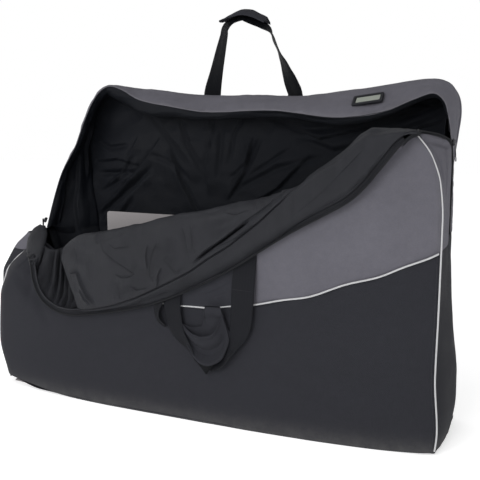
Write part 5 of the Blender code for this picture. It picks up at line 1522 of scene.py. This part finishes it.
piece(stitches("stitch_wrap_hem", q, (0, -1, 0), THREAD), "front_handle", "webbing")
# the wrap's pointed end below, in the darkened webbing: its darkness is painted shade below the pouch's rim
uu, vv = np.meshgrid(np.linspace(0, 1, 40), np.linspace(0, 1, 30), indexing="ij")
xx = mix(mix(0.032, 0.096, uu), 0.0630 + 0.003 * uu, vv ** 0.9)
zz = mix(0.177 - 0.010 * np.sin(math.pi * uu), 0.1390, vv)
P = np.stack([xx, -0.1895 + 0.005 * vv, zz], -1)
o = cloth("front_handle_point", P, WEB_SHADED, (0, -1, 0), t=0.0020, lift=0.0010 * crumple(P, (40, 40, 40), 127))
piece(o, "front_handle", "webbing")

# ---------------------------------------------------------------- floor, light, camera
me = bpy.data.meshes.new("floor")
me.from_pydata([(-9, -9, -0.0005), (9, -9, -0.0005), (9, 9, -0.0005), (-9, 9, -0.0005)], [], [(0, 1, 2, 3)])
floor = bpy.data.objects.new("floor", me)
scene.collection.objects.link(floor)
g = Graph("pale_floor")
g.l.new(g.colour((0.93, 0.93, 0.93, 1), (0.95, 0.95, 0.95, 1), g.noise(g.place(), 3.0)), g.b.inputs["Base Color"])
g.b.inputs["Roughness"].default_value = 0.9
g.b.inputs["Specular IOR Level"].default_value = 0.1
g.b.inputs["Emission Color"].default_value = (1, 1, 1, 1)
g.b.inputs["Emission Strength"].default_value = 0.50
me.materials.append(g.m)

world = bpy.data.worlds.new("studio")
scene.world = world
world.use_nodes = True
wn, wl = world.node_tree.nodes, world.node_tree.links
sky = wn.new("ShaderNodeTexCoord")
sep = wn.new("ShaderNodeSeparateXYZ")
wl.new(sky.outputs["Generated"], sep.inputs[0])
ramp = wn.new("ShaderNodeMapRange")
ramp.inputs["From Min"].default_value = 0.18
ramp.inputs["From Max"].default_value = 0.95
ramp.inputs["To Min"].default_value = 1.0
ramp.inputs["To Max"].default_value = 0.30
wl.new(sep.outputs[2], ramp.inputs["Value"])
wl.new(ramp.outputs[0], wn["Background"].inputs[1])
wn["Background"].inputs[0].default_value = (1.0, 1.0, 1.0, 1.0)


def area(name, place, target, size, power):
    d = bpy.data.lights.new(name, "AREA")
    d.shape = "RECTANGLE"
    d.size, d.size_y = size
    d.energy = power
    o = bpy.data.objects.new(name, d)
    o.location = place
    o.rotation_euler = (Vector(target) - Vector(place)).to_track_quat("-Z", "Y").to_euler()
    scene.collection.objects.link(o)


area("key", (-0.5, -3.9, 2.1), (0.0, 0.0, 0.4), (2.4, 1.8), 83)
area("top", (0.0, -1.2, 3.2), (0.0, 0.0, 0.3), (2.0, 1.2), 14)

cam = bpy.data.cameras.new("camera")
cam.lens = 59.708
cam.sensor_width = 36.0
cam_o = bpy.data.objects.new("camera", cam)
cam_o.location = (0.9655, -1.9433, 0.8021)
cam_o.rotation_euler = (math.radians(90 - 8.9956), 0.0, math.radians(24.5811))
scene.collection.objects.link(cam_o)
scene.camera = cam_o
scene.view_settings.view_transform = "Standard"
